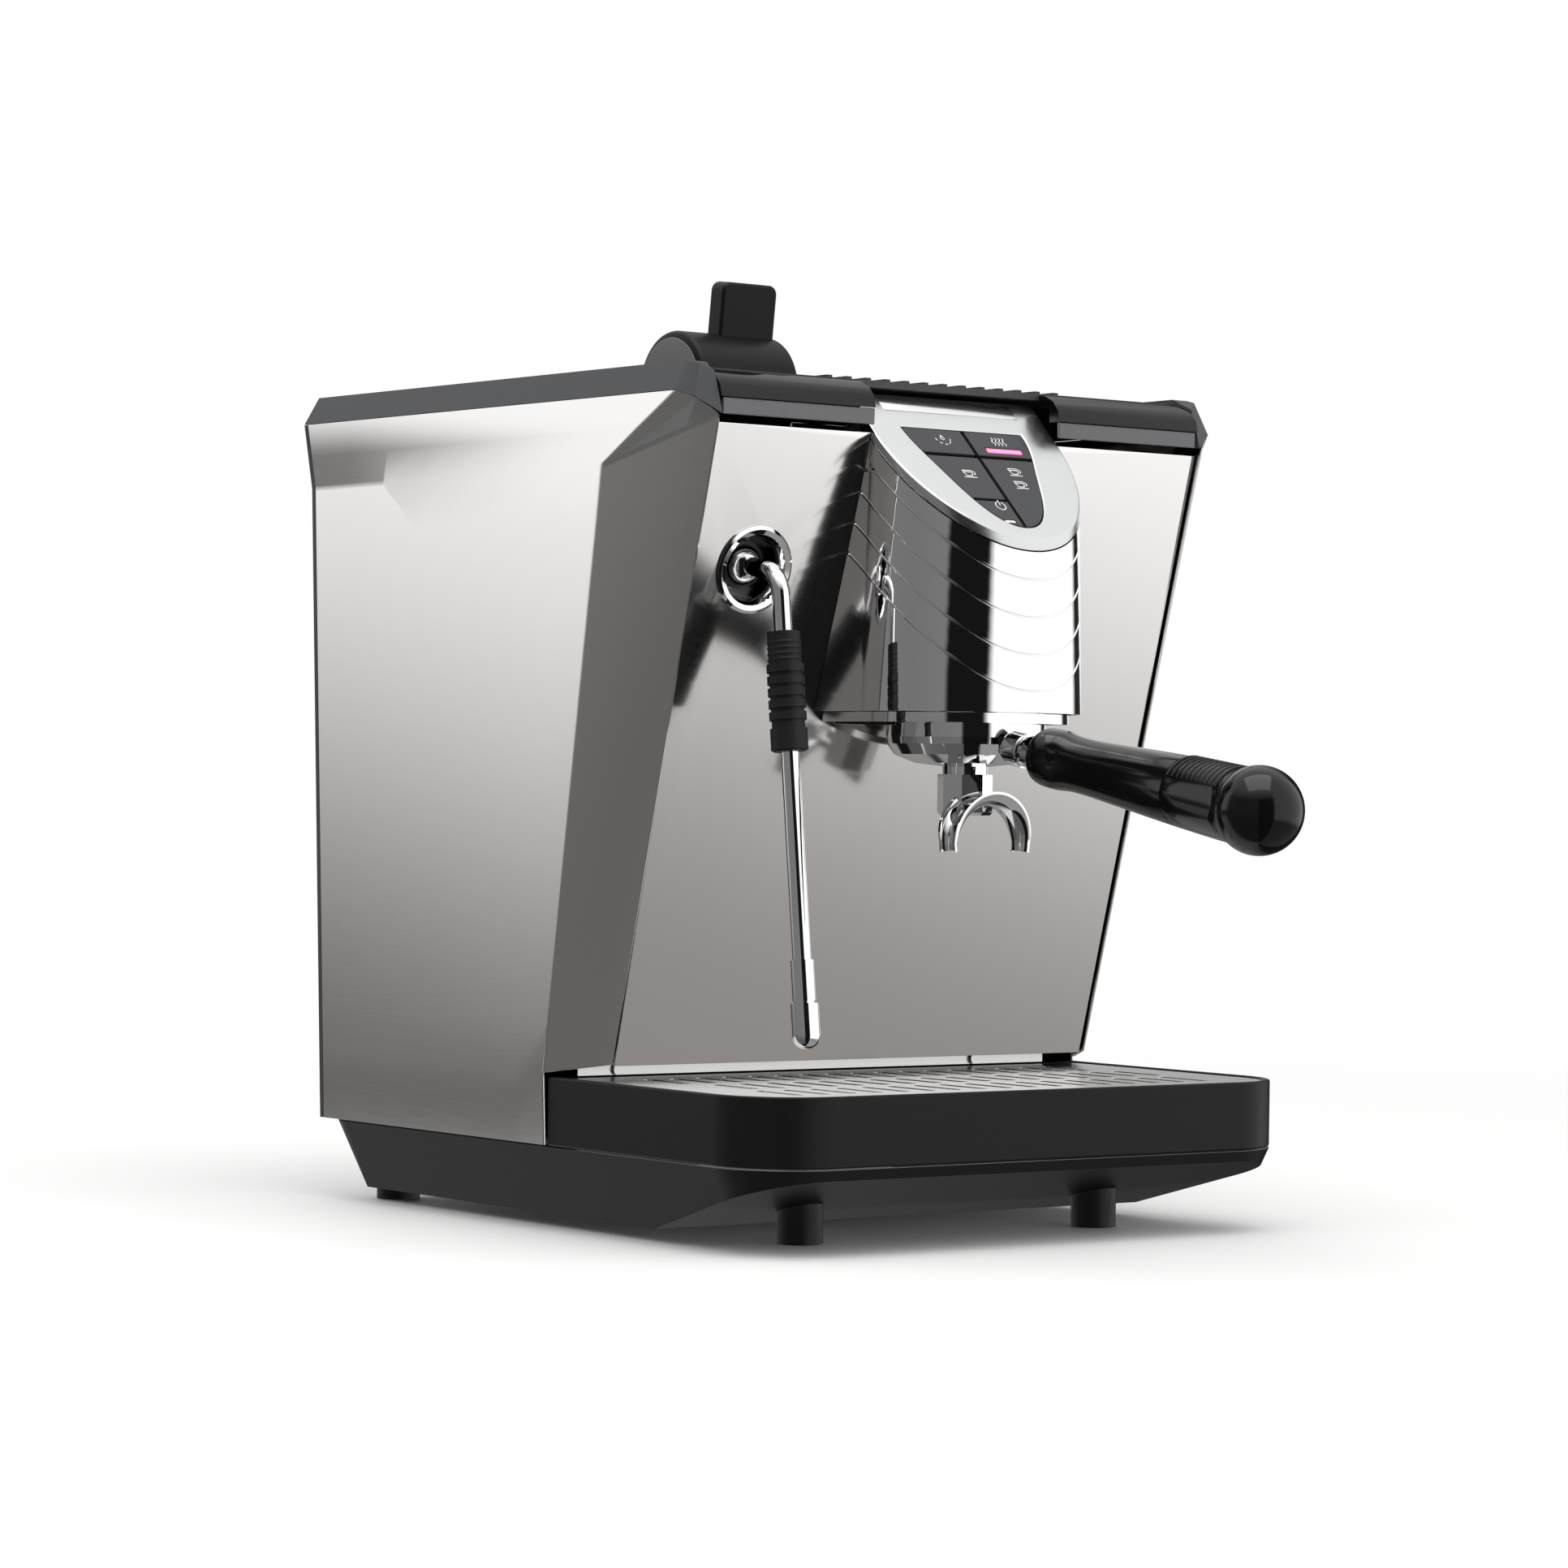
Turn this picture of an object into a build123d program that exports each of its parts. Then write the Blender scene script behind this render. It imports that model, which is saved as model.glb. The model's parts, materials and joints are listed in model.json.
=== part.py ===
"""Single-group espresso machine, modelled as the separate pieces it comes apart into.

Millimetres, +Z up, the front facing -Y and the floor at z = 0. Everything is drawn in a working
frame whose Y = 0 lies midway between the drip tray's front and the body's back, then moved so
that the origin lies under the middle of the whole machine's box.
"""
import os
from math import cos, radians, sin

from build123d import *

# ---------------------------------------------------------------- driving dimensions
GAP = 0.3                   # clearance between pieces that move past each other

TRAY_HALF = 148.0           # drip tray and base, half width
TRAY_FRONT = -177.7         # front face of the drip tray
TRAY_BACK = -20.0
TRAY_CORNER = 36.0          # radius of the tray's front corners
TRAY_LOW, TRAY_TOP = 37.2, 66.8
TRAY_WALL = 3.0

BASE_LOW, BASE_TOP = 5.8, 36.6
BASE_BACK = 165.5
BASE_KEEL = -82.0           # the flat underside ends here and slopes up to the front
BASE_TAPER = 24.0           # how far the base's sides lean in, degrees
BASE_WALL = 3.0

SIDE_LOW, SIDE_KINK = 37.4, 68.0
FACE_TOP, BAND_TOP = 328.5, 358.2
SIDE_HALF_LOW, SIDE_HALF_TOP, BAND_HALF = 149.5, 152.5, 156.5   # at the back edge
SIDE_FRONT_LOW, SIDE_FRONT_TOP = -19.4, -54.0
NOSE_FACE_HALF, NOSE_BAND_HALF = 148.0, 145.5                   # at the front, where it narrows
SHEET = 1.5                 # steel sheet thickness

STRIP_FRONT = -18.0
STRIP_SCREWS = ((-110, 69.0), (90, 69.0))
BACK_LOW, BACK_TOP = 166.5, 177.7     # Y of the rear face at SIDE_LOW and at BAND_TOP
BACK_SHEET = 3.0
INLET_Z = 58.0              # height of the mains inlet's centre

PANEL_HALF_LOW, PANEL_HALF_TOP = 130.5, 132.8
PANEL_LOW = (-44.9, 72.2)   # Y and Z of the front panel's bottom edge
PANEL_TOP = (-116.8, 344.8)

RIM_TOP = 370.8
RIM_BEVEL = 6.2             # how far the rim's top edge is set in from its lower edge
RIM_FRONT = -104.0          # the side arms run straight from here to the back
DECK_TOP = 368.6            # the deck between the rim's front corners lies a little lower
POCKET_FRONT = -48.0        # the cup tray's pocket in the rim
RIM_ARM = 130.0             # inner half width of the pocket
CAP_HALF = 132.2
NOTCH = 332.0               # above this the cover and bezel pass back through the front panel

GROUP_Y = -120.0            # vertical axis of the brewing group
COVER_Y = -116.0            # where the cover's straight sides meet its round nose
COVER_LOW, COVER_TOP = 226.0, 372.0
COVER_REAR = -70.0
COVER_SHELL = 2.5
BEZEL_TOP = (-99.0, 363.6)  # Y and Z of the bezel plane's upper edge
BEZEL_SLOPE = 44.0          # degrees below horizontal, towards the front
BEZEL_THICK = 4.0
PAD_DEPTH = 4.2             # the pad's backing lies this far below the bezel's face

BOWL_RADIUS = 34.5
BOWL_LOW, BOWL_TOP = 203.0, 221.4
RING_LOW, RING_TOP = 221.6, 240.0
RING_RADIUS = 39.0
EAR_REACH = 36.4
HANDLE_DROOP = 9.1
HANDLE_FROM = (-116.0, 217.0)  # Y and Z of the point the handle's lengths are measured from
HANDLE_BALL = 194.0         # distance along the handle's axis to the ball end's centre
BALL_RADIUS = 18.4

WAND_X = -101.0
WAND_BALL = (-91.3, 287.5)  # Y and Z of the steam wand's ball
WAND_ELBOW = (-119.5, 283.0)
WAND_END = (-143.0, 84.0)
TUBE_RADIUS = 4.0

LEVER_AXIS = (-76.0, 362.0)  # Y and Z of the steam lever's shaft, which runs along X
LEVER_LEFT, LEVER_RIGHT = -128.0, -77.0
DRUM_RADIUS = 24.0
VALVE_Y = -58.0             # the steam valve stands behind the wand's socket
SHAFT_RADIUS = 3.0

TANK_HALF = 104.0
TANK_FRONT, TANK_BACK = 86.0, 157.0
TANK_LOW, TANK_TOP = 74.0, 356.0

FOOT_RADIUS = 10.0
FRONT_FEET = (81.5, -113.9)
REAR_FEET = (117.8, 148.0)

HANDLE_TIP = HANDLE_FROM[0] - HANDLE_BALL * cos(radians(HANDLE_DROOP)) - BALL_RADIUS
Y_SHIFT = -(HANDLE_TIP + BACK_TOP) / 2


# ---------------------------------------------------------------- helpers
def block(x, y, z):
    """A box given by its (low, high) in each direction."""
    middle = [(low + high) / 2 for low, high in (x, y, z)]
    return Pos(*middle) * Box(x[1] - x[0], y[1] - y[0], z[1] - z[0])


def rod(radius, start, end):
    """A round bar between two points."""
    start, end = Vector(*start), Vector(*end)
    plane = Plane(origin=start, z_dir=end - start)
    return extrude(plane * Circle(radius), (end - start).length)


def upright(radius, x, y, z):
    """A vertical cylinder between the two heights in z."""
    return rod(radius, (x, y, z[0]), (x, y, z[1]))


def mirrored(shape):
    """The same piece on the machine's other side."""
    return mirror(shape, about=Plane.YZ)


def at_height(z, low, high):
    """A value that changes evenly with height, low and high being (height, value)."""
    return low[1] + (z - low[0]) * (high[1] - low[1]) / (high[0] - low[0])


def back_y(z):
    return at_height(z, (SIDE_LOW, BACK_LOW), (BAND_TOP, BACK_TOP))


def side_half(z):
    if z <= FACE_TOP:
        return at_height(z, (SIDE_LOW, SIDE_HALF_LOW), (FACE_TOP, SIDE_HALF_TOP))
    return at_height(z, (FACE_TOP, SIDE_HALF_TOP), (BAND_TOP, BAND_HALF))


def panel_y(z):
    """Y of the front panel's face at a height."""
    return at_height(z, (PANEL_LOW[1], PANEL_LOW[0]), (PANEL_TOP[1], PANEL_TOP[0]))


def side_profile(points, half):
    """A (Y, Z) outline stretched along X to both sides by half."""
    face = Plane.YZ * make_face(Polyline(*points, close=True))
    return extrude(face, half, both=True)


def sheet_metal(points, faces, shift):
    """A sheet whose outer skin is the given faces and whose inner skin is moved by shift."""
    outer = [Vector(*point) for point in points]
    inner = [point + Vector(*shift) for point in outer]
    skins = []
    edges = set()
    for face in faces:
        skins.append(Face(Wire.make_polygon([outer[i] for i in face])))
        skins.append(Face(Wire.make_polygon([inner[i] for i in reversed(face)])))
        for a, b in zip(face, face[1:] + face[:1]):
            if (b, a) in edges:
                edges.remove((b, a))
            else:
                edges.add((a, b))
    for a, b in edges:
        skins.append(Face(Wire.make_polygon([outer[a], outer[b], inner[b], inner[a]])))
    return Solid(Shell(skins))


def skinned(sections):
    """A solid with flat facets through matching closed outlines, capped at both ends."""
    rings = [[Vector(*point) for point in section] for section in sections]
    skins = []
    for first, second in zip(rings, rings[1:]):
        for i in range(len(first)):
            a, b = first[i], first[i - 1]
            c, d = second[i - 1], second[i]
            skins.append(Face(Wire.make_polygon([a, b, d])))
            skins.append(Face(Wire.make_polygon([b, c, d])))
    for cap in (rings[0], rings[-1]):
        skins.append(Face(Wire.make_polygon([cap[0], cap[1], cap[2]])))
        skins.append(Face(Wire.make_polygon([cap[0], cap[2], cap[3]])))
    return Solid(Shell(skins))


def tray_outline(inset):
    """Plan of the drip tray: square at the back, large round corners at the front."""
    half = TRAY_HALF - inset
    front, back = TRAY_FRONT + inset, TRAY_BACK - inset
    radius = TRAY_CORNER - inset
    plan = Pos(0, (front + back) / 2) * Rectangle(2 * half, back - front)
    corners = plan.vertices().sort_by(Axis.Y)[:2]
    return fillet(corners, radius)


# ---------------------------------------------------------------- base, feet and frame
def base_body(inset):
    """The base's outer form, or its hollow when inset: tapered sides and a sloping chin."""
    half = TRAY_HALF - inset
    front, back = TRAY_FRONT + inset, BASE_BACK - inset
    plan = Pos(0, (front + back) / 2) * Rectangle(2 * half, back - front)
    corners = plan.vertices().sort_by(Axis.Y)
    plan = fillet(corners[:2], TRAY_CORNER - inset)
    plan = fillet(plan.vertices().sort_by(Axis.Y)[-2:], 18 - inset)
    tub = extrude(Pos(0, 0, BASE_TOP) * plan, BASE_LOW - BASE_TOP, taper=BASE_TAPER)
    chin = [
        (BASE_KEEL, BASE_LOW + inset),
        (BASE_BACK, BASE_LOW + inset),
        (BASE_BACK, BASE_TOP),
        (TRAY_FRONT, BASE_TOP),
        (TRAY_FRONT, BASE_TOP - 4.0 + inset),
    ]
    return tub & side_profile(chin, TRAY_HALF + 1)


def foot_places():
    for x, y in (FRONT_FEET, REAR_FEET):
        for side in (-1, 1):
            yield side * x, y


def base_tub():
    tub = base_body(0) - base_body(BASE_WALL)
    for x, y in foot_places():
        tub -= upright(2.3, x, y, (0, 40))
    return tub


def feet():
    """Rubber feet: the front pair is longer, because the base rises over them."""
    outer = base_body(0)
    pads = []
    for x, y in foot_places():
        pad = upright(FOOT_RADIUS, x, y, (0, BASE_TOP)) - outer
        pad -= upright(5.0, x, y, (0, 4.2))
        pad -= upright(2.3, x, y, (0, BASE_TOP))
        pads.append(pad.solids().sort_by(Axis.Z)[0])
    return Compound(pads)


def foot_screws():
    screws = []
    for x, y in foot_places():
        head = upright(4.2, x, y, (1.4, 4.2))
        screws.append(head + upright(2.0, x, y, (4.2, 24)))
    return Compound(screws)


def chassis_frame():
    """Floor plate, the bulkhead before the water tank and the shelf that carries the boiler."""
    floor = block((-144, 144), (-15, 158), (37.2, 39.2))
    bulkhead = block((-126, 126), (79, 81), (39.2, 340))
    shelf = block((-74, 74), (-16, 79), (163, 165))
    legs = block((-74, -72), (-16, 79), (39.2, 163)) + block((72, 74), (-16, 79), (39.2, 163))
    return floor + bulkhead + shelf + legs - rod(4, (-80, 30, 75), (-60, 30, 75))


# ---------------------------------------------------------------- casing
def side_panel():
    """Left side panel: broad main face, flared top band and the facet towards the front."""
    low, high = SIDE_LOW, BAND_TOP - GAP
    points = [
        (-side_half(low), back_y(low) - BACK_SHEET - GAP, low),
        (-side_half(low), SIDE_FRONT_LOW, low),
        (-side_half(SIDE_KINK), SIDE_FRONT_LOW, SIDE_KINK),
        (-NOSE_FACE_HALF, SIDE_FRONT_TOP, FACE_TOP),
        (-side_half(FACE_TOP), back_y(FACE_TOP) - BACK_SHEET - GAP, FACE_TOP),
        (-side_half(high), back_y(high) - BACK_SHEET - GAP, high),
        (-NOSE_BAND_HALF, RIM_FRONT, high),
        (-142.4, -114.5, 354.4),
        (-134.4, -120.2, 347.4),
        (-PANEL_HALF_LOW - 2, PANEL_LOW[0] - 1, PANEL_LOW[1]),
        (-134.6, -33.0, 74.5),
    ]
    faces = [
        [0, 1, 2],
        [0, 2, 3],
        [0, 3, 4],
        [4, 3, 5],
        [5, 3, 6],
        [3, 7, 6],
        [3, 8, 7],
        [2, 8, 3],
        [2, 9, 8],
        [2, 10, 9],
    ]
    return sheet_metal(points, faces, (SHEET, 0, 0))


def panel_plane():
    """Plane on the front panel's face: local Y runs up the panel, local Z out of it."""
    up = Vector(0, PANEL_TOP[0] - PANEL_LOW[0], PANEL_TOP[1] - PANEL_LOW[1]).normalized()
    return Plane(origin=(0, *PANEL_LOW), x_dir=(1, 0, 0), z_dir=Vector(1, 0, 0).cross(up))


def wand_axis_point(depth):
    """A point on the wand socket's axis, depth behind the panel's face."""
    normal = panel_plane().z_dir
    centre = Vector(WAND_X, panel_y(WAND_BALL[1] - 2.6), WAND_BALL[1] - 2.6)
    return centre - normal * depth


def front_panel():
    plane = panel_plane()
    height = (Vector(0, *PANEL_TOP) - Vector(0, *PANEL_LOW)).length
    outline = Polyline(
        (-PANEL_HALF_LOW, 0),
        (PANEL_HALF_LOW, 0),
        (PANEL_HALF_TOP, height),
        (-PANEL_HALF_TOP, height),
        close=True,
    )
    panel = extrude(plane * make_face(outline), -SHEET)
    panel -= rod(17.4, wand_axis_point(5), wand_axis_point(-5))
    panel -= block((-44, 44), (-130, -60), (RING_LOW - 0.6, 292))
    return panel - cover_cut()


def lower_front_strip():
    """Steel strip behind the tray, seen as a narrow line under the front panel."""
    strip = block((-131, 131), (STRIP_FRONT, STRIP_FRONT + 1.2), (40, 78))
    for x, z in STRIP_SCREWS:
        strip -= rod(1.6, (x, -20, z), (x, -10, z))
    return strip


def back_panel():
    """Rear sheet, with louvres low down and holes for its screws and the mains inlet."""
    low, high = SIDE_LOW, BAND_TOP - GAP
    points = [
        (-side_half(low), back_y(low), low),
        (-side_half(FACE_TOP), back_y(FACE_TOP), FACE_TOP),
        (-side_half(high), back_y(high), high),
    ]
    points += [(-x, y, z) for x, y, z in reversed(points)]
    sheet = sheet_metal(points, [[0, 5, 4, 1], [1, 4, 3, 2]], (0, -BACK_SHEET, 0))
    for x, z in back_screw_places():
        sheet -= rod(1.6, (x, 150, z), (x, 185, z))
    sheet -= block((88, 118), (150, 185), (INLET_Z - 11, INLET_Z + 11))
    for row in range(7):
        z = 110 + 12 * row
        sheet -= block((-45, 45), (150, 185), (z, z + 4))
    return sheet


def back_screw_places():
    for z in (52, 195, 340):
        for x in (-140, 140):
            yield x, z
    yield 0, 52
    yield 0, 340


def screw(x, y, z, way):
    """Pan-head screw lying along Y, its head pointing way from the seat at y."""
    head = rod(3.0, (x, y, z), (x, y + 1.6 * way, z))
    return head + rod(1.5, (x, y - 8 * way, z), (x, y, z))


def panel_screws():
    """Screws of the rear sheet and of the strip behind the tray."""
    screws = [screw(x, back_y(z + 3), z, 1) for x, z in back_screw_places()]
    screws += [screw(x, STRIP_FRONT, z, -1) for x, z in STRIP_SCREWS]
    return Compound(screws)


def power_inlet():
    """Three-pin mains inlet in the rear sheet."""
    y = back_y(INLET_Z + 15)
    body = block((88.3, 117.7), (y - 22, y), (INLET_Z - 10.7, INLET_Z + 10.7))
    flange = block((83, 123), (y, y + 2.2), (INLET_Z - 14, INLET_Z + 14))
    hollow = block((92, 114), (y - 16, y + 3), (INLET_Z - 7, INLET_Z + 7))
    pins = block((96, 98), (y - 16, y - 2), (INLET_Z - 2, INLET_Z + 2))
    pins += block((108, 110), (y - 16, y - 2), (INLET_Z - 2, INLET_Z + 2))
    earth = block((102, 104), (y - 16, y - 2), (INLET_Z + 2, INLET_Z + 6))
    return body + flange - hollow + pins + earth


# ---------------------------------------------------------------- top
def rim_corner():
    """Left front corner of the rim, which turns inwards and dips to the front panel."""
    return skinned([
        [(-NOSE_BAND_HALF, RIM_FRONT, BAND_TOP), (-NOSE_BAND_HALF + RIM_BEVEL, RIM_FRONT, RIM_TOP),
         (-RIM_ARM, RIM_FRONT, RIM_TOP), (-RIM_ARM, RIM_FRONT, BAND_TOP)],
        [(-142.6, -114.7, 354.8), (-137.6, -110.5, 369.4),
         (-RIM_ARM, RIM_FRONT - 2, 370.2), (-RIM_ARM, RIM_FRONT - 2, 354.8)],
        [(-CAP_HALF - GAP, -120.6, 348.0), (-CAP_HALF - GAP, -114.5, 366.0),
         (-RIM_ARM - 1, RIM_FRONT - 4, 368.8), (-RIM_ARM - 1, RIM_FRONT - 4, 349.0)],
    ])


def lever_slot(clearance):
    """The space the lever's drum turns in."""
    y, z = LEVER_AXIS
    reach = DRUM_RADIUS + clearance
    return rod(reach, (LEVER_LEFT - clearance, y, z), (LEVER_RIGHT + clearance, y, z))


def top_rim():
    """Dark moulding around the top: bevelled outside, with a pocket for the cup tray."""
    back = BACK_TOP
    low = [(-BAND_HALF, back), (BAND_HALF, back),
           (NOSE_BAND_HALF, RIM_FRONT), (-NOSE_BAND_HALF, RIM_FRONT)]
    high = [(x + (RIM_BEVEL if x < 0 else -RIM_BEVEL), min(y, back - 2.5)) for x, y in low]
    rim = loft([
        Plane.XY.offset(BAND_TOP) * make_face(Polyline(*low, close=True)),
        Plane.XY.offset(RIM_TOP) * make_face(Polyline(*high, close=True)),
    ], ruled=True)
    rim -= block((-RIM_ARM, RIM_ARM), (POCKET_FRONT, 164), (350, 380))
    rim -= block((-RIM_ARM, RIM_ARM), (RIM_FRONT - 1, POCKET_FRONT), (DECK_TOP, 380))
    rim -= block((-RIM_ARM, RIM_ARM), (RIM_FRONT - 1, POCKET_FRONT - 3), (350, DECK_TOP - 3))
    for i in range(-6, 7):
        rim += block((10.5 * i - 1.5, 10.5 * i + 1.5), (-102, -84), (DECK_TOP - 1, DECK_TOP + 1.2))
    rim -= lever_slot(1.0)
    corner = rim_corner()
    return rim + corner + mirrored(corner)


def cover_body(inset):
    """The group cover's solid form: a U in plan, wider at the foot and where it meets the panel."""
    sections = []
    for z in (200, 380):
        half = at_height(z, (COVER_LOW, 54.0), (COVER_TOP, 50.6)) - inset
        nose = at_height(z, (COVER_LOW, 50.0), (COVER_TOP, 47.6)) - inset
        root = at_height(z, (COVER_LOW, 58.0), (COVER_TOP, 52.6)) - inset
        outline = [
            Line((root, COVER_REAR), (half, COVER_Y)),
            EllipticalCenterArc((0, COVER_Y), half, nose, start_angle=180, arc_size=180),
            Line((-half, COVER_Y), (-root, COVER_REAR)),
            Line((-root, COVER_REAR), (root, COVER_REAR)),
        ]
        sections.append(Plane.XY.offset(z) * make_face(outline))
    return loft(sections, ruled=True)


def cover_cut():
    """Room for the cover and bezel in the pieces they pass through."""
    above = block((-70, 70), (BEZEL_TOP[0] - 90, BEZEL_TOP[0] + GAP), (NOTCH - GAP, 390))
    return cover_body(-GAP) & above


def bezel_plane(depth):
    """The inclined plane of the controls, depth below its face."""
    slope = radians(BEZEL_SLOPE)
    normal = Vector(0, -sin(slope), cos(slope))
    return Plane(origin=Vector(0, *BEZEL_TOP) - normal * depth, x_dir=(1, 0, 0), z_dir=normal)


def below_bezel(depth):
    """Everything under the bezel plane, as a large box."""
    return bezel_plane(depth) * Pos(0, 0, -150) * Box(400, 400, 300)


def before_panel(gap):
    """Everything before the front panel, and above NOTCH everything before the bezel's top edge."""
    outline = [
        (-260, 200),
        (panel_y(200) - gap, 200),
        (panel_y(NOTCH) - gap, NOTCH),
        (BEZEL_TOP[0], NOTCH),
        (BEZEL_TOP[0], 400),
        (-260, 400),
    ]
    return side_profile(outline, 200)


def front_cap():
    """Black cap over the front panel's top edge, between the rim's corners."""
    outline = [
        (RIM_FRONT - GAP, 362.0),
        (RIM_FRONT - GAP, 367.8),
        (-109.0, 367.2),
        (-114.5, 364.6),
        (-118.0, 360.4),
        (-119.4, 355.4),
        (-112.0, 355.4),
        (-112.0, 362.0),
    ]
    cap = side_profile(outline, CAP_HALF) - cover_cut() - lever_slot(1.0)
    corner = rim_corner()
    return cap - corner - mirrored(corner)


def cap_strip():
    """Grey strip between the cap and the front panel."""
    strip = side_profile([(-119.0, 348.2), (-117.4, 348.2), (-117.4, 355.1), (-119.0, 355.1)], 131)
    return strip - cover_cut()


def cup_tray():
    """Steel tray where cups warm, with a low lip and rows of short slots."""
    x, y = RIM_ARM - GAP, (POCKET_FRONT + GAP, 81.0)
    tray = block((-x, x), y, (362.0, 369.0))
    tray -= block((-x + 1.5, x - 1.5), (y[0] + 1.5, y[1] - 1.5), (363.5, 370.0))
    slots = [Pos(i * 24, j * 22 + 16) * SlotOverall(14, 3) for i in range(-5, 6) for j in range(-2, 3)]
    tray -= extrude(Plane.XY.offset(360) * Sketch(children=slots), 5)
    return tray


# ---------------------------------------------------------------- water tank
def water_tank():
    """Open tank with an outlet spigot below and a grip bar across its mouth."""
    tank = block((-TANK_HALF, TANK_HALF), (TANK_FRONT, TANK_BACK), (TANK_LOW, TANK_TOP))
    tank = fillet(tank.edges().filter_by(Axis.Z), 10)
    inner = block(
        (-TANK_HALF + 2.5, TANK_HALF - 2.5), (TANK_FRONT + 2.5, TANK_BACK - 2.5),
        (TANK_LOW + 2.5, TANK_TOP + 1))
    tank -= fillet(inner.edges().filter_by(Axis.Z), 7.5)
    grip = block((-6, 6), (TANK_FRONT + 1, TANK_BACK - 1), (TANK_TOP - 12, TANK_TOP - 6))
    spigot = upright(7, 60, 120, (TANK_LOW - 12, TANK_LOW))
    return tank + grip + spigot


def tank_seat():
    """Socket on the floor plate that takes the tank's spigot."""
    return upright(13, 60, 120, (39.2, 68)) - upright(7.05, 60, 120, (55, 70))


def tank_lid():
    """Black lid over the tank, with a finger notch at its front edge."""
    lid = block((-RIM_ARM + 1, RIM_ARM - 1), (82, 163), (364.0, 368.0))
    skirt = block((-TANK_HALF + 4, TANK_HALF - 4), (TANK_FRONT + 4, TANK_BACK - 4), (357.0, 364.0))
    skirt -= block((-TANK_HALF + 7, TANK_HALF - 7), (TANK_FRONT + 7, TANK_BACK - 7), (356.0, 364.0))
    lid += skirt
    lid += block((-TANK_HALF, TANK_HALF), (TANK_FRONT, TANK_FRONT + 4), (356.3, 364.0))
    lid += block((-TANK_HALF, TANK_HALF), (TANK_BACK - 4, TANK_BACK), (356.3, 364.0))
    return lid - Pos(0, 82, 368) * Cylinder(14, 3)


# ---------------------------------------------------------------- group cover and controls
def groove_height(y, front):
    """Height of a groove that is lowest at the nose and climbs towards the panel."""
    back = max(0.0, y - (COVER_Y - 50))
    return front + 1.18 * back - 0.0037 * back * back


def group_cover():
    """Chrome tower in front of the panel, with four grooves that sweep around it."""
    space = below_bezel(BEZEL_THICK) & before_panel(GAP)
    space &= block((-80, 80), (-260, -60), (COVER_LOW, 400))
    cover = (cover_body(0) & space) - cover_body(COVER_SHELL)
    rim_skin = cover_body(0) - cover_body(1.0)
    for front in (281.5, 265.8, 250.2, 235.0):
        steps = [COVER_Y - 52 + 12 * i for i in range(8)]
        upper = [(y, groove_height(y, front) + 0.7) for y in steps]
        lower = [(y, groove_height(y, front) - 0.7) for y in reversed(steps)]
        cover -= side_profile(upper + lower, 70) & rim_skin
    return cover


def cover_base_plate():
    """Thin plate under the cover, set in from its edge, with the group's opening in it."""
    plate = cover_body(5.5) & block((-80, 80), (-190, 0), (RING_LOW, COVER_LOW - 0.2))
    plate = plate & before_panel(GAP)
    return plate - upright(RING_RADIUS + GAP, 0, GROUP_Y, (200, 240))


def pad_outline(inset):
    """Outline of the button pad on the bezel: straight top, sides that close to a round point."""
    half, top, bottom = 33.5 - inset, -21.0 - inset, -84.0 + inset
    return make_face([
        Line((-half, top), (half, top)),
        Spline((half, top), (half * 0.8, top - 26), (0, bottom),
               tangents=[(0.05, -1), (-1, 0)], tangent_scalars=[1.0, 1.0]),
        Spline((0, bottom), (-half * 0.8, top - 26), (-half, top),
               tangents=[(-1, 0), (-0.05, 1)], tangent_scalars=[1.0, 1.0]),
    ])


def control_bezel():
    """Satin frame around the buttons, closing the top of the cover."""
    slab = below_bezel(0) - below_bezel(BEZEL_THICK - 0.1)
    bezel = cover_body(0) & slab & before_panel(GAP)
    return bezel - extrude(bezel_plane(0) * pad_outline(0), BEZEL_THICK, both=True)


def bar_on_bezel(x, y, depth):
    """A box in the bezel's own plane, depth measured below its face."""
    local = Pos((x[0] + x[1]) / 2, (y[0] + y[1]) / 2, -(depth[0] + depth[1]) / 2)
    return bezel_plane(0) * local * Box(x[1] - x[0], y[1] - y[0], depth[1] - depth[0])


BUTTON_CELLS = {
    "drip_button": ((-40, -1.0), (-37.0, -15)),
    "steam_button": ((1.0, 40), (-37.0, -15)),
    "one_cup_button": ((-40, -1.0), (-66.0, -39.0)),
    "two_cup_button": ((1.0, 40), (-90.0, -39.0)),
    "power_button": ((-40, -1.0), (-90.0, -67.6)),
}


def button_pad():
    """Dark backing that carries the buttons and closes the pad's opening."""
    return bezel_plane(0) * Pos(0, 0, -PAD_DEPTH) * extrude(pad_outline(-1.2), -1.2)


def button(name):
    x, y = BUTTON_CELLS[name]
    key = extrude(bezel_plane(0) * pad_outline(0.6), -2.4)
    key = key & bar_on_bezel(x, y, (0.3, 2.4))
    if name == "steam_button":
        key -= bar_on_bezel((7.5, 27.5), (-34.6, -31.4), (-1, 6))
    if name == "power_button":
        key -= bar_on_bezel((-9.5, -3.5), (-81.2, -79.4), (-1, 6))
    return key


def indicator_lights():
    """Light windows that stand on the pad and show through two of the buttons."""
    steam = bar_on_bezel((8.0, 27.0), (-34.2, -31.8), (0.5, PAD_DEPTH))
    power = bar_on_bezel((-9.2, -3.8), (-81.0, -79.6), (0.5, PAD_DEPTH))
    return Compound([steam, power])


def control_board():
    return bar_on_bezel((-30, 30), (-66, -22), (9.0, 10.6))


# ---------------------------------------------------------------- brewing group
def ear(angle, reach, z, clearance):
    """A locking ear, or the room for it, pointing at an angle around the group's axis."""
    wide = 17.0 + 2 * clearance
    bar = block((30.0, reach), (-wide / 2, wide / 2), z) & upright(reach, 0, 0, z)
    return Pos(0, GROUP_Y, 0) * Rot(0, 0, angle) * bar


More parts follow.
